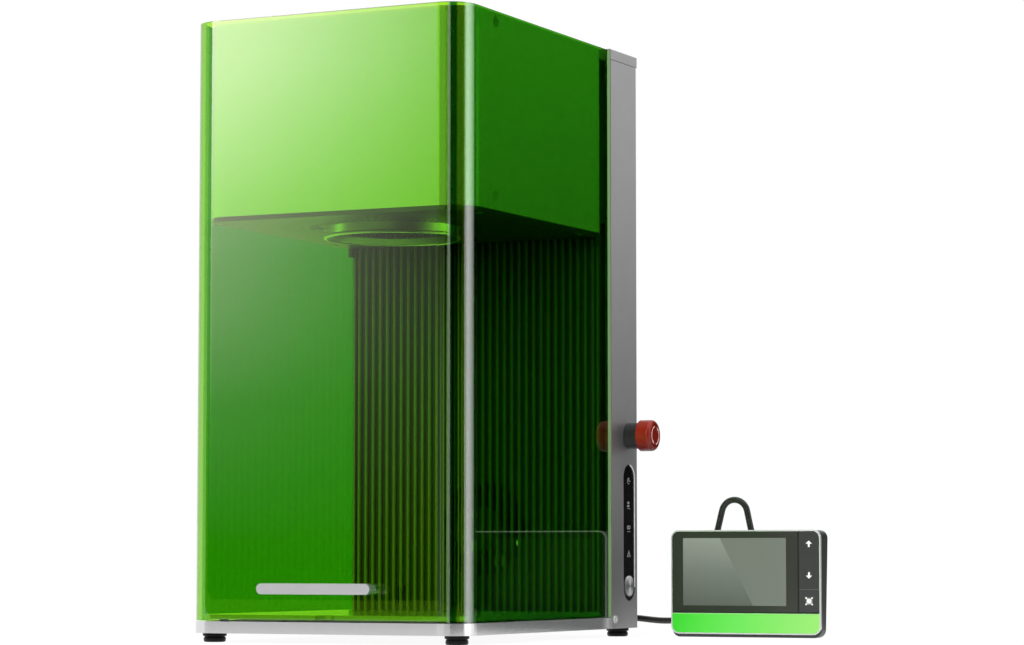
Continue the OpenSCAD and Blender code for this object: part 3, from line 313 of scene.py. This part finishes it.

# The back wall's grooves are painted darker than its rib tops: painted shade in the recesses between
# the ribs.
# The two depths are in millimetres from the wall's front.
RIB_TOP, RIB_FOOT = 1.2, 4.0
rib_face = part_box("back_wall")[0].y
n, s = new_material("rib_black")
groove_shade = n.remap(n.axes()["Y"], rib_face + RIB_TOP * MM, rib_face + RIB_FOOT * MM)
n.link(n.ramp(groove_shade, [(0.0, grey(0.21)), (1.0, grey(0.085))]), s.inputs["Base Color"])
n.link(n.spread(n.noise(300), 0.3, 0.4), s.inputs["Roughness"])
s.inputs["Metallic"].default_value = 0.3
n.link(n.bump(n.noise(900, 2), 0.05), s.inputs["Normal"])

# The lens ring is polished outside and darker in its cone; the fins inside it are matt black.
# The limits are shares of its radius.
FINS_END, CONE_START, CONE_END, LIP_START = 0.715, 0.735, 0.95, 0.96
ring_lo, ring_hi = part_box("lens_ring")
ring_x, ring_y = (ring_lo.x + ring_hi.x) / 2, (ring_lo.y + ring_hi.y) / 2
n, s = new_material("ring_metal")
off_axis = n.vector_math("SUBTRACT", n.coords(), (ring_x, ring_y, 0))
radius = n.vector_math("LENGTH", n.vector_math("MULTIPLY", off_axis, (1, 1, 0)))
reach = n.math("DIVIDE", radius, (ring_hi.x - ring_lo.x) / 2)
n.link(n.ramp(reach, [(FINS_END, grey(0.05)), (CONE_START, grey(0.28)), (CONE_END, grey(0.28)),
                      (LIP_START, grey(0.8))]), s.inputs["Base Color"])
metal = n.ramp(reach, [(FINS_END, grey(0.0)), (CONE_START, grey(1.0))])
n.link(n.spread(metal, 0.5, 0.3), s.inputs["Roughness"])
n.link(metal, s.inputs["Metallic"])
n.link(n.bump(n.noise(700, 2), 0.03), s.inputs["Normal"])

# The controller's strip brightens to the right.
pad_lo, pad_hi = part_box("pad_strip")
n, s = new_material("strip_fade")
along = n.remap(n.axes()["X"], pad_lo.x, pad_hi.x)
n.link(n.ramp(along, [(0.0, (0.05, 0.92, 0.03)), (0.45, (0.2, 0.95, 0.13)),
                      (1.0, (0.42, 0.98, 0.22))]), s.inputs["Base Color"])
n.link(n.spread(n.noise(200), 0.15, 0.22), s.inputs["Roughness"])

# The screen shows a pale reflection on its left part, cut off by a slanting edge that crosses
# its foot and its top at these shares of its width.
SCREEN_X0, SCREEN_X1, SCREEN_Z0, SCREEN_Z1 = 179.6, 281.1, 28.9, 90.7
EDGE_FOOT, EDGE_TOP = 0.68, 0.36
SCREEN_W = SCREEN_X1 - SCREEN_X0
n, s = new_material("lcd")
place = n.axes()
rise = n.remap(place["Z"], SCREEN_Z0 * MM, SCREEN_Z1 * MM)
edge_x = n.spread(rise, at(SCREEN_X0 + EDGE_FOOT * SCREEN_W, 0, 0).x,
                  at(SCREEN_X0 + EDGE_TOP * SCREEN_W, 0, 0).x)
pale = n.ramp(rise, [(0.0, (0.14, 0.15, 0.135)), (0.5, (0.23, 0.24, 0.22)),
                     (1.0, (0.36, 0.375, 0.34))])
plain = n.ramp(rise, [(0.0, (0.225, 0.235, 0.215)), (1.0, (0.225, 0.235, 0.21))])
n.link(n.mix(n.math("GREATER_THAN", place["X"], edge_x), pale, plain), s.inputs["Base Color"])
n.link(n.spread(n.noise(200), 0.2, 0.3), s.inputs["Roughness"])

# The power button's turned face is painted as a fan of light and dark sectors: painted highlights of
# the turned metal.
power_lo, power_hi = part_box("power_button")
n, s = new_material("spun_metal")
place = n.axes()
across = n.math("SUBTRACT", place["Y"], (power_lo.y + power_hi.y) / 2)
above = n.math("SUBTRACT", place["Z"], (power_lo.z + power_hi.z) / 2)
sector_highlight = n.math("COSINE", n.math("MULTIPLY", n.math("ARCTAN2", across, above), 2))
n.link(n.ramp(n.remap(sector_highlight, -1, 1), [(0.0, grey(0.2)), (0.5, grey(0.5)), (1.0, grey(1.0))]),
       s.inputs["Base Color"])
n.link(n.spread(n.noise(400), 0.25, 0.35), s.inputs["Roughness"])
s.inputs["Metallic"].default_value = 0.2

LOOK = {
    "base_frame": "base_metal", "bottom_plate": "dark_paint", "work_bed": "bed",
    "feet": "foot_black", "column_shell": "grey_paint", "column_cap": "grey_paint",
    "rear_panel": "dark_paint",
    "column_screws": "bezel_metal", "rear_screws": "steel", "back_wall": "rib_black",
    "cover_rails": "black_metal", "linear_rails": "steel", "screw_brackets": "dark_paint",
    "focus_motor": "black_metal", "fan_frame": "black_plastic", "exhaust_spigot": "black_plastic",
    "power_inlet": "black_plastic", "cord_gland": "rubber", "power_supply": "silver",
    "main_board": "board", "status_strip": "black_gloss", "estop_collar": "black_plastic",
    "lead_screw": "steel", "screw_coupling": "silver", "fan_rotor": "black_plastic",
    "estop_stem": "black_plastic", "estop_button": "red", "power_button": "spun_metal",
    "mains_switch": "black_gloss", "cover": "acrylic", "cover_channels": "channel",
    "handle_bar": "silver", "handle_posts": "silver", "handle_screws": "steel",
    "head_casing": "head_metal", "head_plate": "plate_metal", "lens_ring": "ring_metal",
    "lens_barrel": "black_metal", "scan_lens": "lens", "scan_block": "silver",
    "scan_motors": "black_metal", "laser_source": "silver", "head_arms": "black_metal",
    "focus_carriage": "silver", "rail_blocks": "steel", "lead_nut": "brass",
    "head_screws": "screw_metal", "head_camera": "black_gloss", "scan_mirror_x": "mirror",
    "scan_mirror_y": "mirror", "pad_shell": "pad_grey", "pad_bezel": "bezel_metal",
    "pad_glass": "screen_glass", "pad_strip": "strip_fade", "pad_board": "board",
    "jog_rocker": "key_black", "frame_key": "key_black", "pad_gland": "rubber",
    "pad_cord": "cord",
}

for node, look in LOOK.items():
    for material_slot in nodes[node].material_slots:
        material_slot.material = MATS[look]


def add_mesh(name, verts, faces, material, smooth=False):
    mesh = bpy.data.meshes.new(name)
    mesh.from_pydata([tuple(v) for v in verts], [], faces)
    mesh.validate()
    obj = bpy.data.objects.new(name, mesh)
    scene.collection.objects.link(obj)
    mesh.materials.append(MATS[material])
    for p in mesh.polygons:
        p.use_smooth = smooth
    return obj


# ---------- edges ----------

BEVELS = {
    "column_shell": 0.5, "column_cap": 0.5, "pad_bezel": 0.3, "pad_shell": 0.6, "pad_glass": 0.15,
    "pad_strip": 0.2, "jog_rocker": 0.15, "frame_key": 0.15, "work_bed": 0.4,
}
for node, width in BEVELS.items():
    bevel = nodes[node].modifiers.new("edge", "BEVEL")
    bevel.width = width * MM
    bevel.segments = 2
    bevel.limit_method = "ANGLE"
    bevel.angle_limit = math.radians(40)
    bevel.harden_normals = False

# ---------- printed marks and thin plates ----------


def polar(radius, degrees, centre=(0, 0)):
    a = math.radians(degrees)
    return (centre[0] + radius * math.cos(a), centre[1] + radius * math.sin(a))


def arc(radius, start, end, steps=12, centre=(0, 0)):
    """Points along a circle, angles in degrees."""
    return [polar(radius, start + (end - start) * k / steps, centre) for k in range(steps + 1)]


def band(radius, width, start, end, centre=(0, 0)):
    """The outline of a curved band."""
    outer = arc(radius + width / 2, start, end, centre=centre)
    inner = arc(radius - width / 2, start, end, centre=centre)
    return outer + inner[::-1]


def bar(u, v, wide, high):
    return [(u - wide / 2, v - high / 2), (u + wide / 2, v - high / 2),
            (u + wide / 2, v + high / 2), (u - wide / 2, v + high / 2)]


def moved(outline, u, v, flip=1):
    return [(u + a, v + flip * b) for a, b in outline]


def plates(name, outlines, place, material, body, thick=0.12):
    """Thin plates that stand on a surface; place(u, v, d) gives a point d in front of it."""
    verts, faces = [], []
    for outline in outlines:
        first, count = len(verts), len(outline)
        for d in (0, thick):
            verts += [place(u, v, d) for u, v in outline]
        faces.append(tuple(range(first + count - 1, first - 1, -1)))
        faces.append(tuple(range(first + count, first + 2 * count)))
        for k in range(count):
            k2 = (k + 1) % count
            faces.append((first + k, first + k2, first + count + k2, first + count + k))
    obj = add_mesh(name, verts, faces, material)
    mesh = bmesh.new()
    mesh.from_mesh(obj.data)
    bmesh.ops.recalc_face_normals(mesh, faces=mesh.faces)
    mesh.to_mesh(obj.data)
    mesh.free()
    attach(obj, body)


def on_front(y_face):
    """A surface that faces the front: u to the right, v up, in the machine's millimetres."""
    return lambda u, v, d: Vector((CENTRE_X + u * MM, y_face - d * MM, v * MM))


def on_side(x_face):
    """A surface that faces right: u to the back, v up."""
    return lambda u, v, d: Vector((x_face + d * MM, CENTRE_Y + u * MM, v * MM))


def on_below(z_face):
    """A surface that faces down: u to the right, v to the back."""
    return lambda u, v, d: Vector((CENTRE_X + u * MM, CENTRE_Y + v * MM, z_face - d * MM))


# Head plate: vent slots and rows of dots round the lens ring, cut off near the plate's edges
SLOT_IN, SLOT_OUT, SLOT_HALF = 67, 76, 0.7
DOT_ROWS, DOT_R = (82, 88, 94, 100), 1.0
VENT_X, VENT_FRONT, VENT_BACK = 118, -155, 90
AROUND = range(0, 360, 5)
lens_mid = (0, (ring_y - CENTRE_Y) / MM)
vents = [[polar(r, turn, polar(w, turn + 90, lens_mid))
          for r, w in ((SLOT_IN, -SLOT_HALF), (SLOT_OUT, -SLOT_HALF),
                       (SLOT_OUT, SLOT_HALF), (SLOT_IN, SLOT_HALF))] for turn in AROUND]
vents += [arc(DOT_R, 0, 315, 7, polar(r, turn + r, lens_mid)) for r in DOT_ROWS for turn in AROUND]
vents = [o for o in vents if all(abs(u) < VENT_X and VENT_FRONT < v < VENT_BACK for u, v in o)]
plates("head_vents", vents, on_below(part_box("head_plate")[0].z), "gap_black", "head",
       0.08)

# Controller: screen, marks on the keys, a grey line under the rocker, black plates of painted shade
# in the gaps, and a pale line of painted highlight along the strip's top The drawings below are in
# millimetres.
ARROW = [(0, 3.0), (3.1, 0.1), (0.9, 0.1), (0.9, -2.9), (-0.9, -2.9), (-0.9, 0.1), (-3.1, 0.1)]
KEY_X, GAP_X = 303.3, 293.0
UP_Z, DOWN_Z, FRAME_Z, GAP_Z = 85.3, 56.7, 33.4, 60.5
MARK_W, TICK_W, TICK_OFF, FIELD_W, LINE_W, GAP_L = 3.8, 1.5, 2.9, 6.0, 19.0, 73.5
glass_front = on_front(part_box("pad_glass")[0].y)
key_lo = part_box("jog_rocker")[0]
key_front = on_front(key_lo.y)
frame_front = on_front(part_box("frame_key")[0].y)
plates("screen_panel", [bar((SCREEN_X0 + SCREEN_X1) / 2, (SCREEN_Z0 + SCREEN_Z1) / 2, SCREEN_W,
                            SCREEN_Z1 - SCREEN_Z0)],
       glass_front, "lcd", "controller", 0.1)
plates("jog_arrows", [moved(ARROW, KEY_X, UP_Z), moved(ARROW, KEY_X, DOWN_Z, -1)],
       key_front, "print_white", "jog_rocker")
frame_mark = [bar(KEY_X, FRAME_Z, MARK_W, MARK_W)]
for right in (-TICK_OFF, TICK_OFF):
    for up in (-TICK_OFF, TICK_OFF):
        frame_mark.append(bar(KEY_X + right, FRAME_Z + up, TICK_W, TICK_W))
plates("frame_mark", frame_mark, frame_front, "print_white", "frame_key", 0.14)
plates("frame_field", [bar(KEY_X, FRAME_Z, FIELD_W, FIELD_W)], frame_front, "print_grey", "frame_key",
       0.08)
plates("key_line", [bar(KEY_X, key_lo.z / MM - 0.15, LINE_W, 0.4)], key_front, "line_grey",
       "frame_key", 0.02)
# A black plate in the gap beside the keys: painted shade.
plates("key_gap_shade", [bar(GAP_X, GAP_Z, 1.4, GAP_L)], glass_front, "gap_black", "controller",
       0.06)
strip_mid = ((pad_lo.x + pad_hi.x) / 2 - CENTRE_X) / MM
strip_wide, strip_top = (pad_hi.x - pad_lo.x) / MM, pad_hi.z / MM
strip_front = on_front(pad_lo.y)
# A black plate along the strip's top: painted shade in the gap, and below it a pale line of painted
# highlight.
plates("strip_gap_shade", [bar(strip_mid, strip_top - 0.6, strip_wide, 1.2)], strip_front, "gap_black",
       "controller", 0.06)
plates("strip_top_highlight", [bar(strip_mid, strip_top - 1.6, strip_wide - 0.6, 0.7)], strip_front,
       "strip_highlight", "controller", 0.05)

# Status strip: four plain marks, and on its right a pale glowing rim, a painted highlight of the
# slot's edge
STRIP_Y, STRIP_Z, STRIP_W, STRIP_L = 158.25, 95.8, 25.2, 125.6
STRIP_FACE, RIM_FACE, RIM_W = 134.6, 135, 1.4
marks = [
    band(2.6, 0.9, 60, 300, (STRIP_Y, 143.5)), bar(STRIP_Y + 1.6, 143.5, 4.6, 0.9),
    bar(STRIP_Y, 144.6, 0.9, 2.4),
    bar(STRIP_Y - 1, 123.3, 4.4, 2.0), bar(STRIP_Y - 1, 120.3, 4.4, 2.0),
    bar(STRIP_Y, 117.9, 6.4, 0.5),
    band(1.5, 0.9, 0, 359, (STRIP_Y - 2, 100.6)), band(1.5, 0.9, 0, 359, (STRIP_Y + 1.6, 100.6)),
    bar(STRIP_Y, 96.8, 6.6, 0.5),
    moved([(-4, -2.6), (0, 3.4), (4, -2.6), (2.6, -2.6), (0, 1.2), (-2.6, -2.6)], STRIP_Y, 76.1),
    bar(STRIP_Y, 74.0, 1.0, 1.2),
]
plates("status_marks", marks, on_side(at(STRIP_FACE, 0, 0).x), "print_grey", "base",
       0.1)
half_l = STRIP_L / 2 - STRIP_W / 2
rim_r = STRIP_W / 2 + 0.35
rim_highlight = [(STRIP_Y + rim_r, STRIP_Z - half_l)]
rim_highlight += arc(rim_r, 0, 80, centre=(STRIP_Y, STRIP_Z + half_l))
rim_highlight += arc(rim_r - RIM_W, 80, 0, centre=(STRIP_Y, STRIP_Z + half_l))
rim_highlight += [(STRIP_Y + rim_r - RIM_W, STRIP_Z - half_l)]
plates("strip_rim_highlight", [rim_highlight], on_side(at(RIM_FACE, 0, 0).x), "print_white", "base",
       0.06)

# Emergency stop: two curved arrows on the face
TURN_R, HEAD_IN, HEAD_OUT = 8.2, 6.9, 9.5
SWEEP, HEAD_TIP = 120, 146
stop_lo, stop_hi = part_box("estop_button")
stop_mid = ((stop_lo.y + stop_hi.y) / 2 - CENTRE_Y) / MM, (stop_lo.z + stop_hi.z) / 2 / MM
turn_marks = []
for first in (100, 280):
    turn_marks.append(band(TURN_R, 0.9, first, first + SWEEP, stop_mid))
    turn_marks.append([polar(HEAD_IN, first + SWEEP, stop_mid),
                       polar(HEAD_OUT, first + SWEEP, stop_mid),
                       polar(TURN_R, first + HEAD_TIP, stop_mid)])
plates("stop_arrows", turn_marks, on_side(stop_hi.x), "print_pink", "stop_button",
       0.12)

# The photograph shows no reflection of the controller's face, so it stays out of them.
for node in ("pad_glass", "pad_strip", "jog_rocker", "frame_key", "pad_board"):
    nodes[node].visible_glossy = False
for plate in ("screen_panel", "jog_arrows", "frame_mark", "frame_field", "key_line", "key_gap_shade",
              "strip_gap_shade", "strip_top_highlight"):
    bpy.data.objects[plate].visible_glossy = False

# ---------- cord ----------

CORD_ROUTE = [
    (110, 195.5, 17), (110, 201, 17), (111.5, 206, 16.8), (115, 210, 16.5), (120, 212.5, 16),
    (126, 213.5, 15.4), (134, 213.5, 14.6), (143, 213, 14), (152, 212.5, 14),
    (160, 212, 14.6), (168, 211.5, 17), (175, 211, 21.5), (180.5, 210.5, 27.5),
    (184.5, 210, 35), (187.5, 209.5, 44), (190.5, 209, 54), (193.5, 208.5, 65),
    (196.5, 208, 76), (199.5, 208, 87), (202.7, 208, 98), (205.3, 208, 108),
    (207.6, 208, 117), (209.4, 208, 120.7), (212.2, 208, 123.7), (215.8, 208, 125.6),
    (219.8, 208, 126.2), (223.8, 208, 125.6), (227.4, 208, 123.7), (230.2, 208, 120.7),
    (232, 208, 117), (234, 208, 108), (236.3, 208, 98), (238.7, 208, 89), (241, 208, 81),
    (243, 208, 74.5), (244, 208, 70), (244, 208, 66.3),
]
# The drawn cord is a little thinner than the CAD's.
CORD_R, DRAWN_SHARE = 3.0, 0.985


def smooth_path(points, steps):
    """A Catmull-Rom curve through the points."""
    ps = [Vector(p) for p in points]
    ps = [2 * ps[0] - ps[1]] + ps + [2 * ps[-1] - ps[-2]]
    path = []
    for i in range(1, len(ps) - 2):
        a, b, c, d = ps[i - 1:i + 3]
        for k in range(steps):
            t = k / steps
            path.append(0.5 * (2 * b + (c - a) * t + (2 * a - 5 * b + 4 * c - d) * t * t
                               + (3 * b - a - 3 * c + d) * t ** 3))
    path.append(ps[-2])
    return path


def tube(name, path, radius, material, sides=20):
    """A closed tube swept along the path."""
    verts, faces = [], []
    up = Vector((0, 1, 0.35)).normalized()
    for i, p in enumerate(path):
        t = (path[min(i + 1, len(path) - 1)] - path[max(i - 1, 0)]).normalized()
        u = t.cross(up).normalized()
        v = t.cross(u)
        for k in range(sides):
            a = 2 * math.pi * k / sides
            verts.append(p + radius * (math.cos(a) * u + math.sin(a) * v))
    for i in range(len(path) - 1):
        for k in range(sides):
            k2 = (k + 1) % sides
            faces.append((i * sides + k, i * sides + k2, (i + 1) * sides + k2, (i + 1) * sides + k))
    faces.append(tuple(reversed(range(sides))))
    faces.append(tuple(range((len(path) - 1) * sides, len(path) * sides)))
    return add_mesh(name, verts, faces, material, smooth=True)


cord_path = [at(*p) for p in smooth_path(CORD_ROUTE, 3)]
cord = tube("controller_cord", cord_path, CORD_R * MM * DRAWN_SHARE, "cord")
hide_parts("pad_cord")
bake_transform(cord)
cord.visible_glossy = False

# ---------- stage ----------


def background_rays(n):
    """1 for camera, glossy and transmission rays, which see the plain white surroundings."""
    path = n.add("ShaderNodeLightPath").outputs
    seen = n.math("MAXIMUM", path["Is Camera Ray"], path["Is Transmission Ray"])
    return n.math("MAXIMUM", seen, path["Is Glossy Ray"])


# The floor is white to the camera, and keeps a faint shadow near the machine.
FLOOR_NEAR, FLOOR_FAR = 0.94, 0.98
NEAR_R, FAR_R = 0.6, 2.5
n, s = new_material("floor")
s.inputs["Base Color"].default_value = (*grey(0.08), 1)
s.inputs["Roughness"].default_value = 0.8
s.inputs["Specular IOR Level"].default_value = 0.0
level = n.remap(n.vector_math("LENGTH", n.coords()), NEAR_R, FAR_R, FLOOR_NEAR, FLOOR_FAR)
glow = n.add("ShaderNodeEmission")
n.link(n.math("MULTIPLY", background_rays(n), level), glow.inputs["Strength"])
n.show(n.both(s.outputs["BSDF"], glow.outputs["Emission"]))

# The inner disc is seen in reflections; past it they show the cards, which reach below the floor.
INNER_R, OUTER_R, RIM = 0.48, 14.0, 64
circle = [(math.cos(2 * math.pi * k / RIM), math.sin(2 * math.pi * k / RIM)) for k in range(RIM)]
disc = add_mesh("floor_inner", [(INNER_R * x, INNER_R * y, 0) for x, y in circle],
                [tuple(range(RIM))], "floor")
ring = add_mesh("floor_outer", [(r * x, r * y, 0) for r in (INNER_R, OUTER_R) for x, y in circle],
                [(k, RIM + k, RIM + (k + 1) % RIM, (k + 1) % RIM) for k in range(RIM)], "floor")
ring.visible_glossy = False

AMBIENT = 0.38
world = bpy.data.worlds.new("world")
scene.world = world
world.use_nodes = True
w = Nodes(world.node_tree)
background = world.node_tree.nodes["Background"]
background.inputs["Color"].default_value = (1, 1, 1, 1)
w.link(w.spread(background_rays(w), AMBIENT, 1.0), background.inputs["Strength"])


def receivers(name, names):
    """A collection of nodes, for what a card or a lamp lights or what blocks it."""
    group = bpy.data.collections.new(name)
    for node in names:
        group.objects.link(nodes[node])
    return group


def upright_card(name, a, b, low, high, material, through=True):
    """A studio card over the floor points a and b, in millimetres. The camera doesn't see it, and
    it lights no matt surface; through=False hides it behind clear plastic too."""
    corners = [at(*a, low), at(*b, low), at(*b, high), at(*a, high)]
    obj = add_mesh(name, corners, [(0, 1, 2, 3)], material)
    obj.visible_camera = False
    obj.visible_diffuse = False
    obj.visible_transmission = through
    obj.visible_shadow = False
    return obj


# An even light goes through a ramp too: without one Cycles samples the card in another way, and
# the picture changes a little.
EVEN = [("Z", 0.0, 1.0, [(0.0, 1.0), (1.0, 1.0)])]


def light_card(name, a, b, low, high, colour, profiles=EVEN, clear=False, sharp=None,
               through=True):
    """A card whose light is the colour times the ramps along its axes, in metres. clear=True lets
    what is behind it show. sharp=True keeps it to mirror-smooth surfaces, False to the others."""
    n, _ = new_material(name)
    place = n.axes()
    level = max(colour)
    for axis, start, end, stops in profiles:
        ramp = n.ramp(n.remap(place[axis], start, end), [(p, grey(v)) for p, v in stops])
        level = n.math("MULTIPLY", ramp, level)
    if sharp is not None:
        singular = n.add("ShaderNodeLightPath").outputs["Is Singular Ray"]
        kept = singular if sharp else n.math("SUBTRACT", 1.0, singular)
        level = n.math("MULTIPLY", level, kept)
    glow = n.add("ShaderNodeEmission")
    glow.inputs["Color"].default_value = (*[c / max(colour) for c in colour], 1)
    n.link(level, glow.inputs["Strength"])
    out = glow.outputs["Emission"]
    if clear:
        out = n.both(out, n.add("ShaderNodeBsdfTransparent").outputs["BSDF"])
    n.show(out)
    return upright_card("card_" + name, a, b, low, high, name, through)


# The front cards stand along CARD_Y and FRONT_Y, the side cards along SIDE_X, in millimetres.
CARD_Y, FRONT_Y, SIDE_X = -2500, -1900, 2900
BELOW, BASE_LEVEL, CARD_TOP = -1500, -32, 2600
LEFT_X, HAZE_X, SPLIT_X, FLAG_X = -3600, -2300, -1000, 250

# Two haze fields on the cover's front: one wide and high up, one narrow that reaches lower.
HAZE_FOOT, HAZE_TOP = 3, 1500
haze_x, haze_z = ("X", at(HAZE_X, 0, 0).x, at(SPLIT_X, 0, 0).x), ("Z", 0.0, 1.05)
for name, y, colour, x_stops, z_stops in (
        ("haze_wide", CARD_Y + 20, (8.2, 4.2, 8.0),
         [(0.56, 1.0), (0.59, 0.8), (0.674, 0.8), (0.757, 0.72), (0.84, 0.55), (0.923, 0.36),
          (1.0, 0.1)],
         [(0.554, 0.0), (0.65, 0.1), (0.761, 0.37), (0.873, 0.76), (1.0, 1.0)]),
        ("haze_low", CARD_Y + 40, (5.8, 4.8, 4.7),
         [(0.56, 1.0), (0.59, 0.93), (0.674, 0.6), (0.757, 0.28), (0.824, 0.13), (0.873, 0.08),
          (0.923, 0.03), (1.0, 0.0)],
         [(0.09, 0.0), (0.315, 0.13), (0.475, 0.48), (0.554, 0.6), (0.65, 0.74), (0.761, 0.98),
          (0.873, 1.0)])):
    light_card(name, (HAZE_X, y), (SPLIT_X, y), HAZE_FOOT, HAZE_TOP, colour,
               [(*haze_x, x_stops), (*haze_z, z_stops)], clear=True, sharp=True, through=False)

# A soft grey on the left: for the cover it fades to the right, for rough metal it doesn't.
grey_rise = ("Z", 0.0, 1.0, [(0.06, 0.0), (0.2, 0.1), (0.35, 0.3), (0.6, 0.9), (0.9, 1.0)])
light_card("grey_haze", (LEFT_X, CARD_Y + 60), (SPLIT_X, CARD_Y + 60), BASE_LEVEL, CARD_TOP,
           grey(1.0), [(*haze_x, [(0.78, 1.0), (0.9, 0.6), (1.0, 0.35)]), grey_rise],
           clear=True, sharp=True)
light_card("grey_left", (LEFT_X, CARD_Y), (SPLIT_X, CARD_Y), BASE_LEVEL, CARD_TOP, grey(1.0),
           [grey_rise], sharp=False)
# Plain greys: below, for the base; above, between the left cards and the black flag
BASE_CARD_X = 1320
light_card("grey_base", (LEFT_X, CARD_Y), (BASE_CARD_X, CARD_Y), BELOW, BASE_LEVEL, grey(0.95))
light_card("grey_middle", (SPLIT_X, CARD_Y), (FLAG_X, CARD_Y), BASE_LEVEL, CARD_TOP, grey(0.35))

# The two long highlights in the cover's right bend: a narrow one towards the front, and a broad
# one towards the side. Both fade out at their cards' tops.
SOFT_X0, SOFT_X1, SOFT_TOP = 449, 996, 2400
top_fade = [(0.0, 1.0), (0.9, 1.0), (1.0, 0.0)]
light_card("soft_front", (SOFT_X0, FRONT_Y), (SOFT_X1, FRONT_Y), BELOW, SOFT_TOP,
           (3.6, 4.8, 3.2), [
    ("X", at(SOFT_X0, 0, 0).x, at(SOFT_X1, 0, 0).x,
     [(0.0, 0.0), (0.3, 0.7), (0.6, 1.0), (0.8, 0.85), (1.0, 0.0)]),
    ("Z", 0.0, SOFT_TOP * MM, top_fade),
], clear=True, sharp=True, through=False)
SIDE_NEAR, SIDE_FAR = -600, 2600
side_y = ("Y", at(0, SIDE_NEAR, 0).y, at(0, SIDE_FAR, 0).y)
light_card("soft_side", (SIDE_X, SIDE_NEAR), (SIDE_X, SIDE_FAR), BELOW, CARD_TOP, grey(7.8), [
    (*side_y, [(0.0, 0.0), (0.1, 0.5), (0.24, 0.95), (0.31, 1.0), (0.38, 0.94), (0.47, 0.8),
               (0.58, 0.55), (0.7, 0.37), (0.84, 0.14), (1.0, 0.0)]),
    ("Z", 0.0, CARD_TOP * MM, top_fade),
], clear=True, sharp=True, through=False)

# Black flags give the dark parts of the reflections; a grey card fills in below the back one.
n, _ = new_material("flag_black")
dark = n.add("ShaderNodeEmission")
dark.inputs["Strength"].default_value = 0.0
n.show(dark.outputs["Emission"])
low_start, front_end = (1036, -1978), (SIDE_X + 50, -560)
back_start, back_end = (SIDE_X + 50, 2650), (200, 3400)
for name, a, b, low, high in (
        ("flag_front", (FLAG_X, CARD_Y - 60), front_end, BASE_LEVEL, CARD_TOP),
        ("flag_front_low", low_start, front_end, BELOW, BASE_LEVEL),
        ("flag_back", back_start, back_end, BASE_LEVEL, CARD_TOP)):
    upright_card(name, a, b, low, high, "flag_black")
light_card("side_base", back_start, back_end, BELOW, BASE_LEVEL, grey(0.3))

# Cards that light single pieces: the base's right front corner, and the right sides of the
# column and of the head
for name, a, b, level, profile, lit in (
        ("soft_corner", (SIDE_X - 20, SIDE_NEAR), (SIDE_X - 20, SIDE_FAR), 1.4,
         (*side_y, [(0.05, 0.0), (0.2, 0.8), (0.32, 1.0), (0.45, 0.75), (0.6, 0.1), (0.7, 0.0)]),
         ["base_frame"]),
        ("soft_column", (SIDE_X - 50, 2550), (200, 3300), 1.0,
         ("Z", -0.1, 1.1, [(0.2, 0.04), (0.35, 0.18), (0.6, 0.5), (0.9, 0.8)]),
         ["column_shell", "column_cap"]),
        ("soft_head", (SIDE_X - 90, 2500), (200, 3250), 0.75,
         ("Z", 0.6, 1.1, [(0.0, 0.5), (1.0, 1.0)]), ["head_casing"])):
    obj = light_card(name, a, b, BELOW, CARD_TOP, grey(level), [profile], clear=True, sharp=False,
                     through=False)
    obj.light_linking.receiver_collection = receivers(name + "_receivers", lit)


def lamp(name, place, target, size, power, only=None, colour=(1, 1, 1), glossy=False):
    """A square soft lamp, placed in millimetres from the machine's centre."""
    data = bpy.data.lights.new(name, "AREA")
    data.size = size
    data.energy = power
    data.color = colour
    obj = bpy.data.objects.new(name, data)
    scene.collection.objects.link(obj)
    obj.location = at(*place)
    aim = at(*target) - obj.location
    obj.rotation_euler = aim.to_track_quat("-Z", "Y").to_euler()
    obj.visible_camera = False
    obj.visible_transmission = False
    obj.visible_glossy = glossy
    if only is not None:
        obj.light_linking.receiver_collection = receivers(name + "_receivers", only)
    return obj


lamp("front", (500, -1900, 700), (0, -100, 300), 0.9, 30)
lamp("key", (-1900, -2100, 1900), (0, 0, 250), 1.4, 26)
lamp("top", (300, -500, 3000), (0, 0, 250), 2.0, 26)
lamp("side", (1300, 400, 1700), (130, 100, 450), 0.8, 12)
lamp("base_side", (1300, 100, 250), (134, -30, 10), 0.5, 12, ["base_frame"])
lamp("head_side", (900, 250, 900), (126, -30, 460), 0.6, 9, ["head_casing", "head_screws"])
lamp("head_front", (-300, -1500, 900), (0, -166, 460), 0.8, 5, ["head_casing"])
for name, place, power in (("ring_left", (-483, -179, 490), 0.12),
                           ("ring_right", (460, 146, 490), 0.37),
                           ("ring_inside", (-171, 330, 35), 0.1)):
    obj = lamp(name, place, (0, -49, 360), 0.04, power, ["lens_ring"], colour=(0.5, 1.0, 0.4),
               glossy=True)
    obj.light_linking.blocker_collection = receivers(name + "_blockers", ["lens_ring"])
